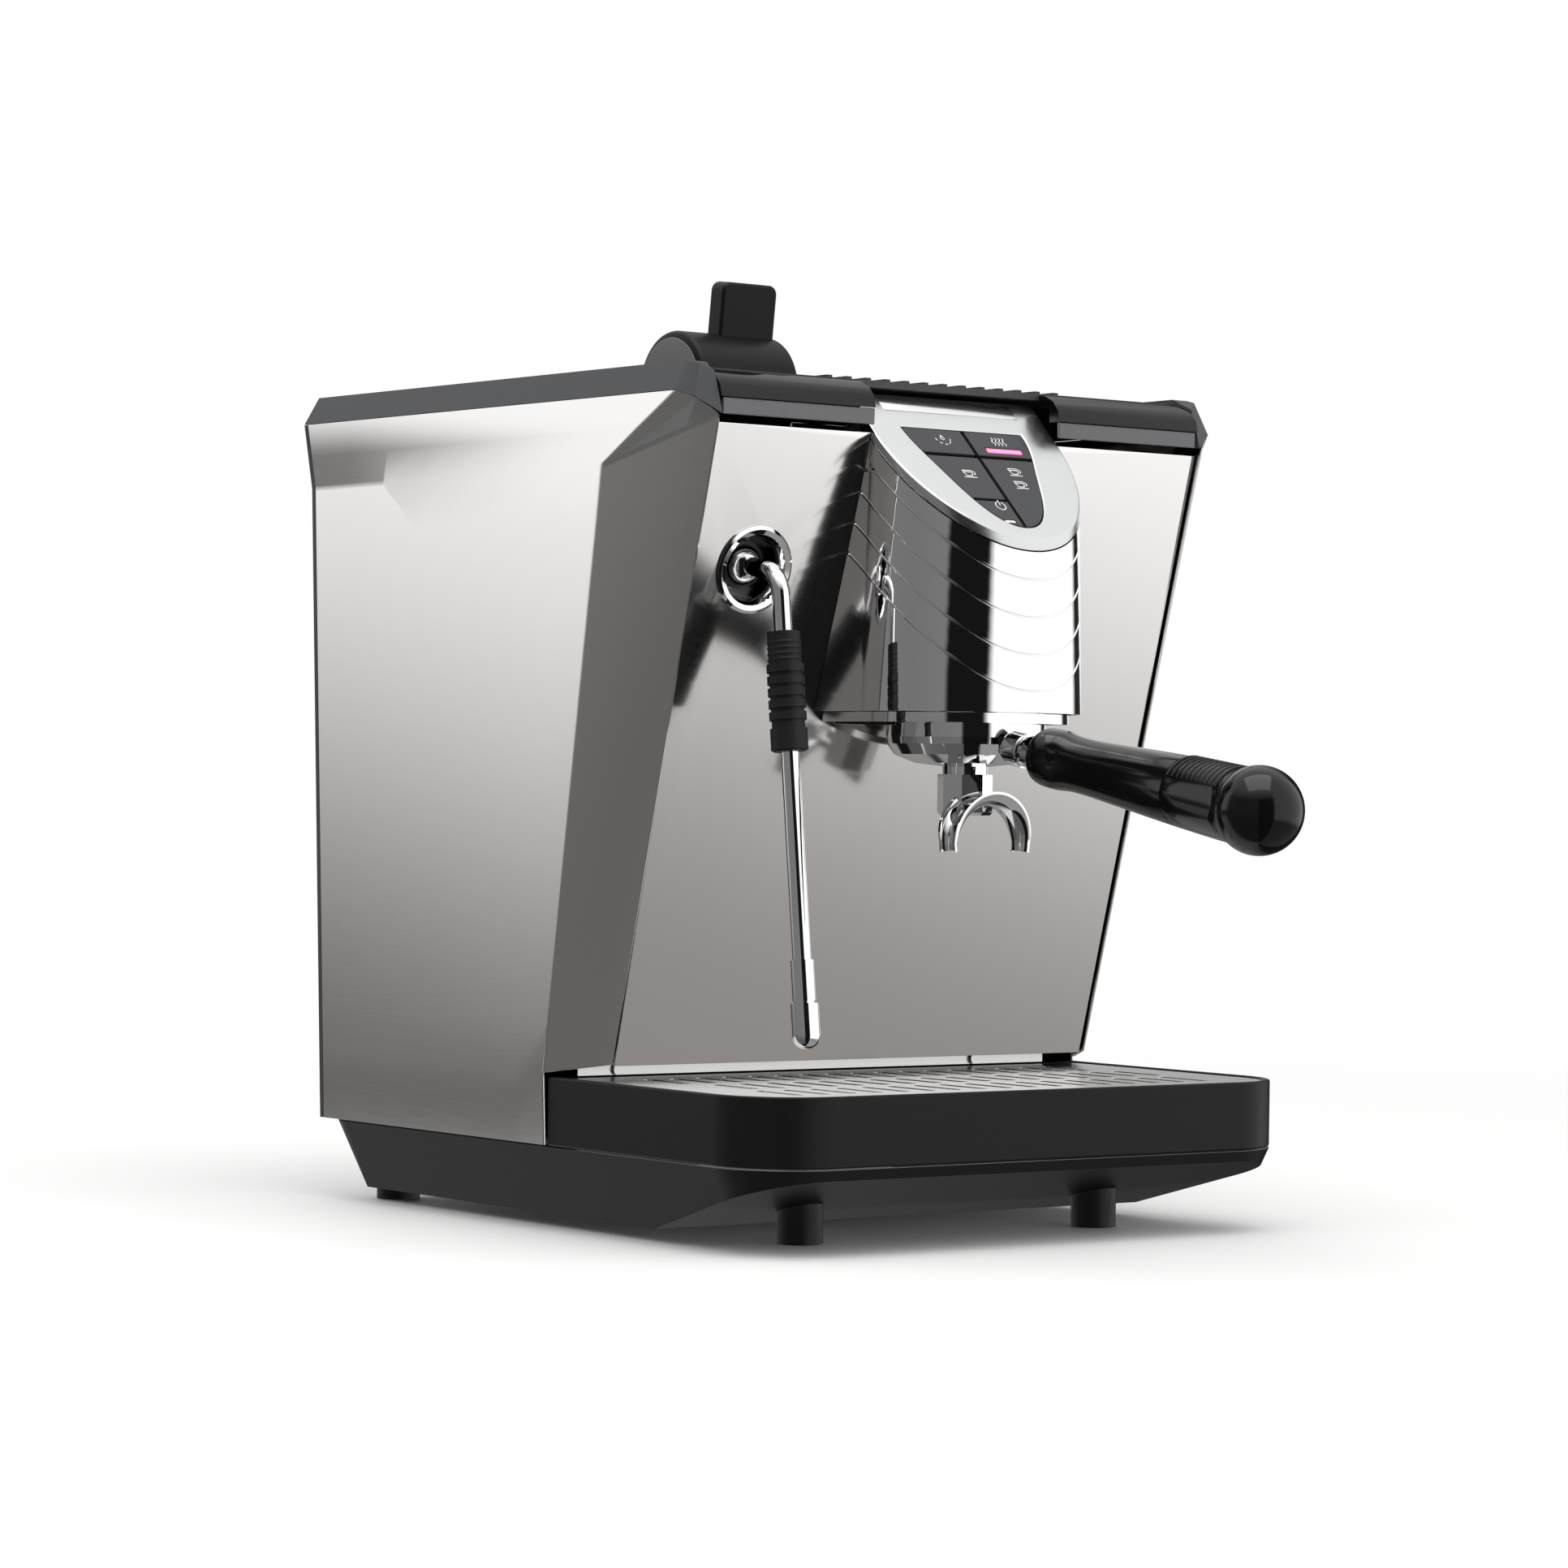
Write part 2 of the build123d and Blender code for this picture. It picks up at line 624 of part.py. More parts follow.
def group_body():
    """Plated brass head that feeds hot water down through the screen."""
    head = upright(RING_RADIUS, 0, GROUP_Y, (RING_TOP, 262)) - upright(30, 0, GROUP_Y, (239, 244))
    return head + block((-24, 24), (-115, -36.4), (248, 286))


def group_ring():
    """Locking ring: the portafilter's ears enter through its gaps and turn under its flange."""
    ring = upright(RING_RADIUS, 0, GROUP_Y, (RING_LOW, RING_TOP))
    ring -= upright(33.6, 0, GROUP_Y, (200, 250))
    ring -= upright(EAR_REACH + 0.6, 0, GROUP_Y, (224.0, 230.6))
    ring -= upright(36.6, 0, GROUP_Y, (230.0, 250))
    for angle in (135, 315):
        ring -= ear(angle, EAR_REACH + 0.9, (RING_LOW - 1, 225), 1.5)
    return ring


def group_gasket():
    return upright(36.4, 0, GROUP_Y, (231.6, 239.8)) - upright(29.6, 0, GROUP_Y, (230, 241))


def shower_screen():
    screen = upright(28.4, 0, GROUP_Y, (233.4, 235.0))
    wall = upright(28.4, 0, GROUP_Y, (235.0, 243.8)) - upright(27.2, 0, GROUP_Y, (234, 245))
    holes = [upright(0.9, r * cos(a * step), GROUP_Y + r * sin(a * step), (232, 236))
             for r, step, n in ((9, radians(60), 6), (16, radians(36), 10), (23, radians(24), 15))
             for a in range(n)]
    return (screen + wall - upright(2.6, 0, GROUP_Y, (230, 240))) - Compound(holes)


def screen_screw():
    head = upright(5.0, 0, GROUP_Y, (231.9, 233.4))
    return head + upright(2.5, 0, GROUP_Y, (233.4, 243.9))


# ---------------------------------------------------------------- portafilter
def handle_line(distance):
    """A point on the handle's axis."""
    droop = radians(HANDLE_DROOP)
    y, z = HANDLE_FROM
    return Vector(0, y - distance * cos(droop), z - distance * sin(droop))


def handle_turned(profile):
    """A piece turned about the handle's axis from (distance, radius) pairs."""
    first, last = profile[0][0], profile[-1][0]
    outline = [(first, 0)] + profile + [(last, 0)]
    face = make_face(Polyline(*outline, close=True))
    turned = revolve(face, Axis.X)
    # local X becomes the handle's axis
    plane = Plane(origin=handle_line(0), x_dir=handle_line(1) - handle_line(0), z_dir=(1, 0, 0))
    return plane * turned


def portafilter_body():
    """Chromed bowl with two locking ears and a boss for the handle's neck."""
    profile = [
        (10.2, BOWL_LOW), (22.0, BOWL_LOW + 1.4), (31.0, BOWL_LOW + 5.0),
        (BOWL_RADIUS - 0.6, BOWL_LOW + 9.5), (BOWL_RADIUS, BOWL_LOW + 12.5),
        (BOWL_RADIUS, BOWL_TOP), (33.0, BOWL_TOP), (33.0, 231.2), (31.1, 231.2),
        (31.1, 212.0), (24.0, 206.8), (10.2, 205.8),
    ]
    bowl = revolve(Plane.XZ * make_face(Polyline(*profile, close=True)), Axis.Z)
    bowl = Pos(0, GROUP_Y, 0) * bowl
    for angle in (0, 180):
        bowl += ear(angle, EAR_REACH, (224.6, 229.6), 0) - upright(31.1, 0, GROUP_Y, (200, 240))
    boss = rod(7.4, handle_line(33), handle_line(46)) - upright(33, 0, GROUP_Y, (200, 240))
    return bowl + boss


def filter_basket():
    """Steel filter basket hung by its lip on the bowl's mouth."""
    profile = [
        (0, 211.0), (27.0, 211.0), (28.9, 214.0), (28.9, 231.6), (33.0, 231.6), (33.0, 231.2),
        (29.4, 231.2), (29.4, 213.8), (27.4, 210.4), (0, 210.4),
    ]
    basket = revolve(Plane.XZ * make_face(Polyline(*profile, close=True)), Axis.Z)
    return Pos(0, GROUP_Y, 0) * basket


def basket_spring():
    """Wire ring that grips the basket inside the bowl."""
    ring = Pos(0, GROUP_Y, 222) * Torus(30.6, 0.45)
    return ring - block((-3, 3), (GROUP_Y, -60), (220, 224))


def portafilter_neck():
    return handle_turned([(46, 6.4), (50, 7.2), (64, 6.6), (100, 6.0)])


def portafilter_handle():
    grip = handle_turned([
        (58, 9.6), (60, 11.6), (66, 12.7), (72, 12.6), (80, 11.9), (92, 12.0), (108, 12.8),
        (124, 13.6), (140, 14.4), (149.8, 14.8),
    ])
    return grip - handle_turned([(40, 6.0), (100.2, 6.0)]) - portafilter_neck()


def handle_end():
    """Ball end of the grip, with fine ribs turned around its upper part."""
    ribs = []
    for i in range(10):
        start = 151 + 3.2 * i
        radius = 15.0 + 0.32 * i
        ribs += [(start, radius), (start + 1.8, radius + 0.1), (start + 2.1, radius - 0.4),
                 (start + 2.9, radius - 0.4)]
    ball = [(HANDLE_BALL + BALL_RADIUS * sin(radians(a)), BALL_RADIUS * cos(radians(a)))
            for a in (-24, -10, 4, 18, 32, 46, 60, 74, 86)]
    return handle_turned([(150.1, 14.6)] + ribs + ball)


def spout():
    """Twin spout: a boss under the bowl and an open trough that arches to both sides."""
    y, z, radius = -134.0, 170.5, 19.5
    boss = upright(9.8, 0, GROUP_Y, (199.5, 205.4))
    boss += extrude(Pos(0, GROUP_Y, 182) * RegularPolygon(12.0, 8), 17.6)
    boss = fillet(boss.edges().filter_by(GeomType.LINE).group_by(Axis.Z)[0], 2.0)
    path = [
        Line((radius, y, z - 5.5), (radius, y, z)),
        CenterArc((0, 0, 0), radius, 0, 180),
        Line((-radius, y, z), (-radius, y, z - 5.5)),
    ]
    path[1] = Plane(origin=(0, y, z), x_dir=(1, 0, 0), z_dir=(0, -1, 0)) * path[1]
    wire = Wire(path)
    start = Plane(origin=(radius, y, z - 5.5), z_dir=(0, 0, 1))
    trough = sweep(start * SlotOverall(17.6, 13.0), path=wire)
    trough -= sweep(start * SlotOverall(15.2, 10.6), path=wire)
    kept = rod(radius + 5.0, (0, y - 20, z), (0, y + 20, z))
    kept += block((-radius - 5.0, radius + 5.0), (y - 20, y + 20), (z - 10, z))
    feed = rod(5.0, (0, GROUP_Y - 8, 188), (0, y, 188)) - rod(radius - 6.4, (0, y - 20, z), (0, y + 20, z))
    return boss + (trough & kept) + (feed & block((-20, 20), (y, 0), (180, 200)))


# ---------------------------------------------------------------- steam wand and lever
def wand_socket():
    """Flared cup set in the front panel, with a round seat for the wand's ball."""
    plane = Plane(origin=wand_axis_point(0), x_dir=(1, 0, 0), z_dir=panel_plane().z_dir)
    profile = [
        (17.2, -1.8), (17.2, 0.2), (19.0, 0.2), (19.0, 1.0), (17.6, 1.7), (15.4, 1.2),
        (14.0, -1.5), (13.6, -9.0), (13.6, -24.0), (15.4, -24.0), (15.4, -4.0),
    ]
    ring = revolve(make_face(Polyline(*profile, close=True)), Axis.Y)
    ring = plane * Rot(90, 0, 0) * ring
    centre = Vector(WAND_X, *WAND_BALL)
    back = rod(13.6, wand_axis_point(12.5), wand_axis_point(24))
    seat = back - Pos(*centre) * Sphere(10.9)
    return ring + seat


def wand_seat():
    """Nylon ring between the socket and the ball, which turns with the ball."""
    centre = Vector(WAND_X, *WAND_BALL)
    shell = Pos(*centre) * (Sphere(10.6) - Sphere(9.1))
    return shell - rod(30, wand_axis_point(8.5), wand_axis_point(-20))


def wand_path():
    points = [(WAND_X, *WAND_BALL), (WAND_X, *WAND_ELBOW), (WAND_X, *WAND_END)]
    return FilletPolyline(*points, radius=13)


def wand_point(z):
    """A point on the wand's long straight run at a height."""
    y = at_height(z, (WAND_ELBOW[1], WAND_ELBOW[0]), (WAND_END[1], WAND_END[0]))
    return (WAND_X, y, z)


def wand_tube():
    """Steam pipe with the swivel ball brazed on its upper end."""
    path = wand_path()
    start = Plane(origin=path @ 0, z_dir=path % 0)
    outer = sweep(start * Circle(TUBE_RADIUS), path=path)
    tube = outer - sweep(start * Circle(2.6), path=path)
    below = rod(20, wand_point(116), wand_point(60))
    ball = Pos(WAND_X, *WAND_BALL) * Sphere(9.0) - rod(2.6, path @ 0, (WAND_X, *WAND_ELBOW))
    return tube - below + ball


def wand_sleeve():
    """Rubber grip with rings moulded around it."""
    sleeve = rod(7.0, wand_point(258), wand_point(208))
    for z in (208.5, 221, 226, 231, 236, 241):
        sleeve += rod(7.9, wand_point(z + 3.4 if z > 209 else z + 9), wand_point(z))
    return sleeve - rod(TUBE_RADIUS, wand_point(270), wand_point(200))


def wand_tip():
    """Steam nozzle: a collar over the tube and a rounded head with four outlets."""
    collar = rod(5.0, wand_point(121), wand_point(104))
    head = rod(6.0, wand_point(103), wand_point(90)) + Pos(*wand_point(90)) * Sphere(6.0)
    throat = rod(4.4, wand_point(104), wand_point(103))
    tip = collar + throat + head
    tip -= rod(TUBE_RADIUS, wand_point(130), wand_point(116))
    tip -= rod(2.0, wand_point(117), wand_point(90))
    centre = Vector(*wand_point(90))
    for angle in (45, 135, 225, 315):
        reach = Vector(cos(radians(angle)), sin(radians(angle)), -0.8) * 9
        tip -= rod(0.9, centre, centre + reach)
    return tip


def steam_lever():
    """Drum that turns about a cross shaft, with the paddle standing on it."""
    y, z = LEVER_AXIS
    drum = rod(DRUM_RADIUS, (LEVER_LEFT, y, z), (LEVER_RIGHT, y, z))
    drum = fillet(drum.edges().filter_by(GeomType.CIRCLE), 2.5)
    drum -= rod(SHAFT_RADIUS, (LEVER_LEFT - 1, y, z), (LEVER_RIGHT + 1, y, z))
    paddle = block((-108, -79.5), (y - 5, y + 5), (z + 15, z + 46.4))
    paddle = fillet(paddle.edges().filter_by(Axis.Y).group_by(Axis.Z)[-1], 4.0)
    paddle = fillet(paddle.edges().group_by(Axis.Z)[-1], 1.5)
    paddle = Pos(0, y, z) * Rot(7, 0, 0) * Pos(0, -y, -z) * paddle
    return drum + (paddle - rod(DRUM_RADIUS - 4, (-140, y, z), (-60, y, z)))


def lever_end_disc():
    """Grey disc let into the drum's outer end."""
    y, z = LEVER_AXIS
    return rod(21.0, (LEVER_LEFT - 0.6, y, z), (LEVER_LEFT, y, z))


def lever_shaft():
    y, z = LEVER_AXIS
    return rod(SHAFT_RADIUS, (LEVER_LEFT, y, z), (-64, y, z))


def lever_bracket():
    """Bracket on the frame side that carries the lever's shaft."""
    y, z = LEVER_AXIS
    cheek = block((-74.5, -70), (y - 9, y + 9), (318, 365.4))
    cheek -= rod(SHAFT_RADIUS + 0.06, (-80, y, z), (-60, y, z))
    return cheek + block((-130, -74.5), (y - 9, y + 9), (318, 321))


def steam_valve():
    """Needle valve that the lever's drum works through a stem."""
    return upright(11, WAND_X, VALVE_Y, (272, 300)) + upright(6, WAND_X, VALVE_Y, (300, 340))


# ---------------------------------------------------------------- drip tray
def drip_tray():
    """Black tray with a floor and a ledge that the grate rests on."""
    body = extrude(Plane.XY.offset(TRAY_LOW) * tray_outline(0), TRAY_TOP - TRAY_LOW)
    hollow = extrude(Plane.XY.offset(TRAY_LOW + 2.5) * tray_outline(9), 40)
    seat = extrude(Plane.XY.offset(TRAY_TOP - 7) * tray_outline(TRAY_WALL), 40)
    return body - hollow - seat


def drip_grate():
    """Steel grate with rows of slots and a turned-down edge."""
    top = TRAY_TOP - 0.8
    plate = extrude(Plane.XY.offset(top - 1.5) * tray_outline(TRAY_WALL + 0.5), 1.5)
    skirt = extrude(Plane.XY.offset(TRAY_TOP - 7) * tray_outline(TRAY_WALL + 0.5), 7 - 2.3)
    skirt -= extrude(Plane.XY.offset(TRAY_TOP - 8) * tray_outline(TRAY_WALL + 2.0), 10)
    slots = []
    for row, y in enumerate((-58, -98, -138)):
        for i in range(-8, 9):
            shift = 7.0 if row % 2 else 0.0
            if abs(i * 14 + shift) < 122:
                slots.append(Pos(i * 14 + shift, y) * SlotOverall(32, 5, rotation=90))
    plate -= extrude(Plane.XY.offset(top - 3) * Sketch(children=slots), 6)
    return plate + skirt


# ---------------------------------------------------------------- inside the casing
def boiler():
    """Brass boiler, a drum with a bolted flange, on the shelf."""
    body = upright(48, 0, 12, (165, 285)) + upright(56, 0, 12, (225, 233))
    body -= upright(44, 0, 12, (169, 281))
    return body + upright(14, 0, 12, (285, 295))


def boiler_insulation():
    jacket = upright(53, 0, 12, (167, 224)) - upright(48.1, 0, 12, (160, 230))
    return jacket


def heating_element():
    """Hairpin element that hangs from the boiler's top."""
    path = FilletPolyline((28, 12, 281), (28, 12, 182), (-28, 12, 182), (-28, 12, 281), radius=20)
    return sweep(Plane(origin=(28, 12, 281), z_dir=(0, 0, -1)) * Circle(4), path=path)


def pump():
    """Vibration pump lying under the boiler's shelf."""
    body = rod(22, (-10, 30, 75), (50, 30, 75)) + rod(10, (-40, 30, 75), (-10, 30, 75))
    return body + block((-4, 44), (22, 38), (39.2, 60))


def solenoid_valve():
    """Three-way valve beside the boiler."""
    return block((84, 112), (-10, 22), (180, 214)) + upright(15, 98, 6, (214, 252))


def flow_meter():
    return rod(19, (-110, 40, 75), (-110, 62, 75)) + block((-118, -102), (44, 58), (39.2, 60))


def pipes():
    """Water and steam lines, each a bent tube from port to port."""
    runs = [
        [(-110, 39.9, 75), (-110, 30, 75), (-40.1, 30, 75)],
        [(50.1, 30, 75), (62, 30, 75), (62, 30, 150), (62, -24, 150), (62, -24, 190), (62, 6, 190),
         (83.9, 6, 190)],
        [(-89.9, VALVE_Y, 286), (-78, VALVE_Y, 286), (-78, 12, 286), (-78, 12, 240),
         (-48.2, 12, 240)],
    ]
    tubes = []
    for points in runs:
        path = FilletPolyline(*points, radius=4.9)
        start = Plane(origin=path @ 0, z_dir=path % 0)
        tubes.append(sweep(start * Circle(3), path=path))
    return Compound(tubes)


# ---------------------------------------------------------------- the whole machine
def build():
    """Every node by name, in the working frame."""
    left = side_panel()
    nodes = {
        "base_tub": base_tub(),
        "feet": feet(),
        "foot_screws": foot_screws(),
        "chassis_frame": chassis_frame(),
        "left_side_panel": left,
        "right_side_panel": mirrored(left),
        "front_panel": front_panel(),
        "lower_front_strip": lower_front_strip(),
        "back_panel": back_panel(),
        "panel_screws": panel_screws(),
        "power_inlet": power_inlet(),
        "top_rim": top_rim(),
        "front_cap": front_cap(),
        "cap_strip": cap_strip(),
        "cup_tray": cup_tray(),
        "water_tank": water_tank(),
        "tank_seat": tank_seat(),
        "tank_lid": tank_lid(),
        "group_cover": group_cover(),
        "cover_base_plate": cover_base_plate(),
        "control_bezel": control_bezel(),
        "button_pad": button_pad(),
        "indicator_lights": indicator_lights(),
        "control_board": control_board(),
        "group_body": group_body(),
        "group_ring": group_ring(),
        "group_gasket": group_gasket(),
        "shower_screen": shower_screen(),
        "screen_screw": screen_screw(),
        "portafilter_body": portafilter_body(),
        "filter_basket": filter_basket(),
        "basket_spring": basket_spring(),
        "portafilter_neck": portafilter_neck(),
        "portafilter_handle": portafilter_handle(),
        "handle_end": handle_end(),
        "spout": spout(),
        "wand_socket": wand_socket(),
        "wand_seat": wand_seat(),
        "wand_tube": wand_tube(),
        "wand_sleeve": wand_sleeve(),
        "wand_tip": wand_tip(),
        "steam_lever": steam_lever(),
        "lever_end_disc": lever_end_disc(),
        "lever_shaft": lever_shaft(),
        "lever_bracket": lever_bracket(),
        "steam_valve": steam_valve(),
        "drip_tray": drip_tray(),
        "drip_grate": drip_grate(),
        "boiler": boiler(),
        "boiler_insulation": boiler_insulation(),
        "heating_element": heating_element(),
        "pump": pump(),
        "solenoid_valve": solenoid_valve(),
        "flow_meter": flow_meter(),
        "pipes": pipes(),
    }
    for name in BUTTON_CELLS:
        nodes[name] = button(name)
    return nodes


def main():
    os.makedirs("parts", exist_ok=True)
    for name, shape in build().items():
        export_step(Pos(0, Y_SHIFT, 0) * shape, f"parts/{name}.step")


if __name__ == "__main__":
    main()
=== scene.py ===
"""Looks of a home espresso machine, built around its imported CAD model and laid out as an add-on."""

import json
from math import cos, pi, radians, sin, tan

import bmesh
import bpy
from mathutils import Matrix, Vector


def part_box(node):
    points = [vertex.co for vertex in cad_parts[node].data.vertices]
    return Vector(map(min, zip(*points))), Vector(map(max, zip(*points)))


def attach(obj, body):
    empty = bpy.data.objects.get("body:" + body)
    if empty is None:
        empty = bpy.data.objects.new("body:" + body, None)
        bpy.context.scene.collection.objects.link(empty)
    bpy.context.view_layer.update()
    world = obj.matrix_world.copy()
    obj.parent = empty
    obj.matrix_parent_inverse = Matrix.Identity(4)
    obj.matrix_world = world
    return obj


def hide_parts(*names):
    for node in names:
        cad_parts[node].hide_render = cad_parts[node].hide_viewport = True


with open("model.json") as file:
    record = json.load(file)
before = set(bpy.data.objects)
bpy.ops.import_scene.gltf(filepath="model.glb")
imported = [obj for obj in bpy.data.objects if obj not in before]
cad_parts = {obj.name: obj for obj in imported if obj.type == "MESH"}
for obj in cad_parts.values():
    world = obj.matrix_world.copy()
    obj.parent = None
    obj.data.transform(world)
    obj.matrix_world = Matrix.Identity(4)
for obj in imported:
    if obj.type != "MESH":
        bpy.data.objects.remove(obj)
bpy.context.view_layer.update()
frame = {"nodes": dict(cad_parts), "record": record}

bl_info = {
    "name": "Espresso Machine Looks",
    "version": (1, 0, 0),
    "blender": (4, 5, 0),
    "location": "View3D > Sidebar > Espresso",
    "description": "Finishes and fine parts of an espresso machine, set around its CAD model",
    "category": "Object",
}

MM = 0.001

# Every height and distance below is in millimetres. Y counts from the middle of the tray and casing,
# and MIDDLE is where that point lies in the frame.
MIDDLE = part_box("front_panel")[0].y / MM + 116.8

BEZEL_EDGE = (-99.0, 363.6)     # upper edge of the inclined control face, Y and Z
BEZEL_SLOPE = radians(44)
BEZEL_THICK = 4.0
COVER_Y = -116.0                # where the cover's sides meet its round nose
COVER_REAR = -70.0
COVER_LOW, COVER_TOP = 226.0, 372.0
NOTCH = 332.0
GROUP_Y = -120.0
SPOUT_ARCH = (-134.0, 170.5, 19.0)      # Y and Z of the arch's middle, and its radius
SPOUT_HALF_WIDTH, SPOUT_DEPTH, SPOUT_WALL = 8.7, 6.4, 1.3
SPOUT_FOOT = 182.0
HANDLE_FROM = (-116.0, 217.0)
HANDLE_DROOP = radians(9.1)
WAND = (-101.0, -143.0, 84.0)
WAND_ELBOW = (-119.5, 283.0)
PANEL_OUTWARD = Vector((0, -0.967, -0.255))
SOCKET_Z = 285.0
SOCKET_SHADE_DEPTH = 0.0035             # depth of the socket's bright lip, in metres; deeper in, the socket's inside is painted dark as painted shade


# ---------------------------------------------------------------- settings
class EspressoColours(bpy.types.PropertyGroup):
    """Colours of the machine's finishes"""
    steel: bpy.props.FloatVectorProperty(
        name="Casing steel", description="Colour of the polished side panels",
        subtype="COLOR", size=3, min=0, max=1, default=(0.83, 0.82, 0.81))
    mirror: bpy.props.FloatVectorProperty(
        name="Front panel", description="Colour of the mirror panel",
        subtype="COLOR", size=3, min=0, max=1, default=(0.88, 0.865, 0.85))
    rim: bpy.props.FloatVectorProperty(
        name="Rim", description="Colour of the moulding around the top",
        subtype="COLOR", size=3, min=0, max=1, default=(0.062, 0.064, 0.068))
    black: bpy.props.FloatVectorProperty(
        name="Black mouldings", description="Colour of the base, the tray and the lever",
        subtype="COLOR", size=3, min=0, max=1, default=(0.007, 0.007, 0.0075))
    light: bpy.props.FloatVectorProperty(
        name="Indicator light", description="Colour of the lit window",
        subtype="COLOR", size=3, min=0, max=1, default=(0.95, 0.12, 0.25))


class EspressoSizes(bpy.types.PropertyGroup):
    """Sizes of the machine's fine parts"""
    edge: bpy.props.FloatProperty(
        name="Edge radius", description="Rounding of the casing's folded edges",
        unit="LENGTH", default=0.0008, min=0.0, max=0.003)
    groove_depth: bpy.props.FloatProperty(
        name="Groove depth", description="Depth of the grooves around the group cover",
        unit="LENGTH", default=0.001, min=0.0, max=0.002)
    groove_half: bpy.props.FloatProperty(
        name="Groove half width", description="Half the width of a groove",
        unit="LENGTH", default=0.0008, min=0.0002, max=0.003)
    grip_rings: bpy.props.IntProperty(
        name="Grip rings", description="Number of rings around the handle's end",
        default=11, min=1, max=40)
    sleeve_rings: bpy.props.IntProperty(
        name="Sleeve rings", description="Number of rings around the steam wand's sleeve",
        default=5, min=1, max=20)


# ---------------------------------------------------------------- finishes
FINISHES = {}


def finish(name, colour, rough, metallic=0.0, coat=0.0, grain=60.0, stretch=(1, 1, 1),
           uneven=0.15, bump=0.0, mottle=0.06, glow=None, clear=0.0, shine=0.5):
    """A surface whose colour, roughness and height vary with a noise in object space."""
    material = bpy.data.materials.new(name)
    material.use_nodes = True
    tree = material.node_tree
    shader = tree.nodes["Principled BSDF"]
    shader.inputs["Metallic"].default_value = metallic
    shader.inputs["Coat Weight"].default_value = coat
    shader.inputs["Coat Roughness"].default_value = 0.06
    shader.inputs["Transmission Weight"].default_value = clear
    shader.inputs["Specular IOR Level"].default_value = shine
    place = tree.nodes.new("ShaderNodeTexCoord")
    turn = tree.nodes.new("ShaderNodeMapping")
    turn.inputs["Scale"].default_value = stretch
    noise = tree.nodes.new("ShaderNodeTexNoise")
    noise.inputs["Scale"].default_value = grain
    noise.inputs["Detail"].default_value = 4.0
    tree.links.new(place.outputs["Object"], turn.inputs["Vector"])
    tree.links.new(turn.outputs["Vector"], noise.inputs["Vector"])
    spread = tree.nodes.new("ShaderNodeMapRange")
    spread.inputs["From Min"].default_value = 0.3
    spread.inputs["From Max"].default_value = 0.7
    spread.inputs["To Min"].default_value = rough * (1 - uneven)
    spread.inputs["To Max"].default_value = rough * (1 + uneven)
    tree.links.new(noise.outputs["Fac"], spread.inputs["Value"])
    tree.links.new(spread.outputs["Result"], shader.inputs["Roughness"])
    ramp = tree.nodes.new("ShaderNodeValToRGB")
    ramp.color_ramp.elements[0].position = 0.3
    ramp.color_ramp.elements[1].position = 0.7
    ramp.color_ramp.elements[0].color = (*(c * (1 - mottle) for c in colour), 1)
    ramp.color_ramp.elements[1].color = (*(min(1.0, c * (1 + mottle)) for c in colour), 1)
    tree.links.new(noise.outputs["Fac"], ramp.inputs["Fac"])
    tree.links.new(ramp.outputs["Color"], shader.inputs["Base Color"])
    if bump:
        relief = tree.nodes.new("ShaderNodeBump")
        relief.inputs["Strength"].default_value = bump
        relief.inputs["Distance"].default_value = 0.0002
        tree.links.new(noise.outputs["Fac"], relief.inputs["Height"])
        tree.links.new(relief.outputs["Normal"], shader.inputs["Normal"])
    if glow:
        shader.inputs["Emission Color"].default_value = (*glow, 1)
        shader.inputs["Emission Strength"].default_value = 2.2
    FINISHES[name] = material
    return material


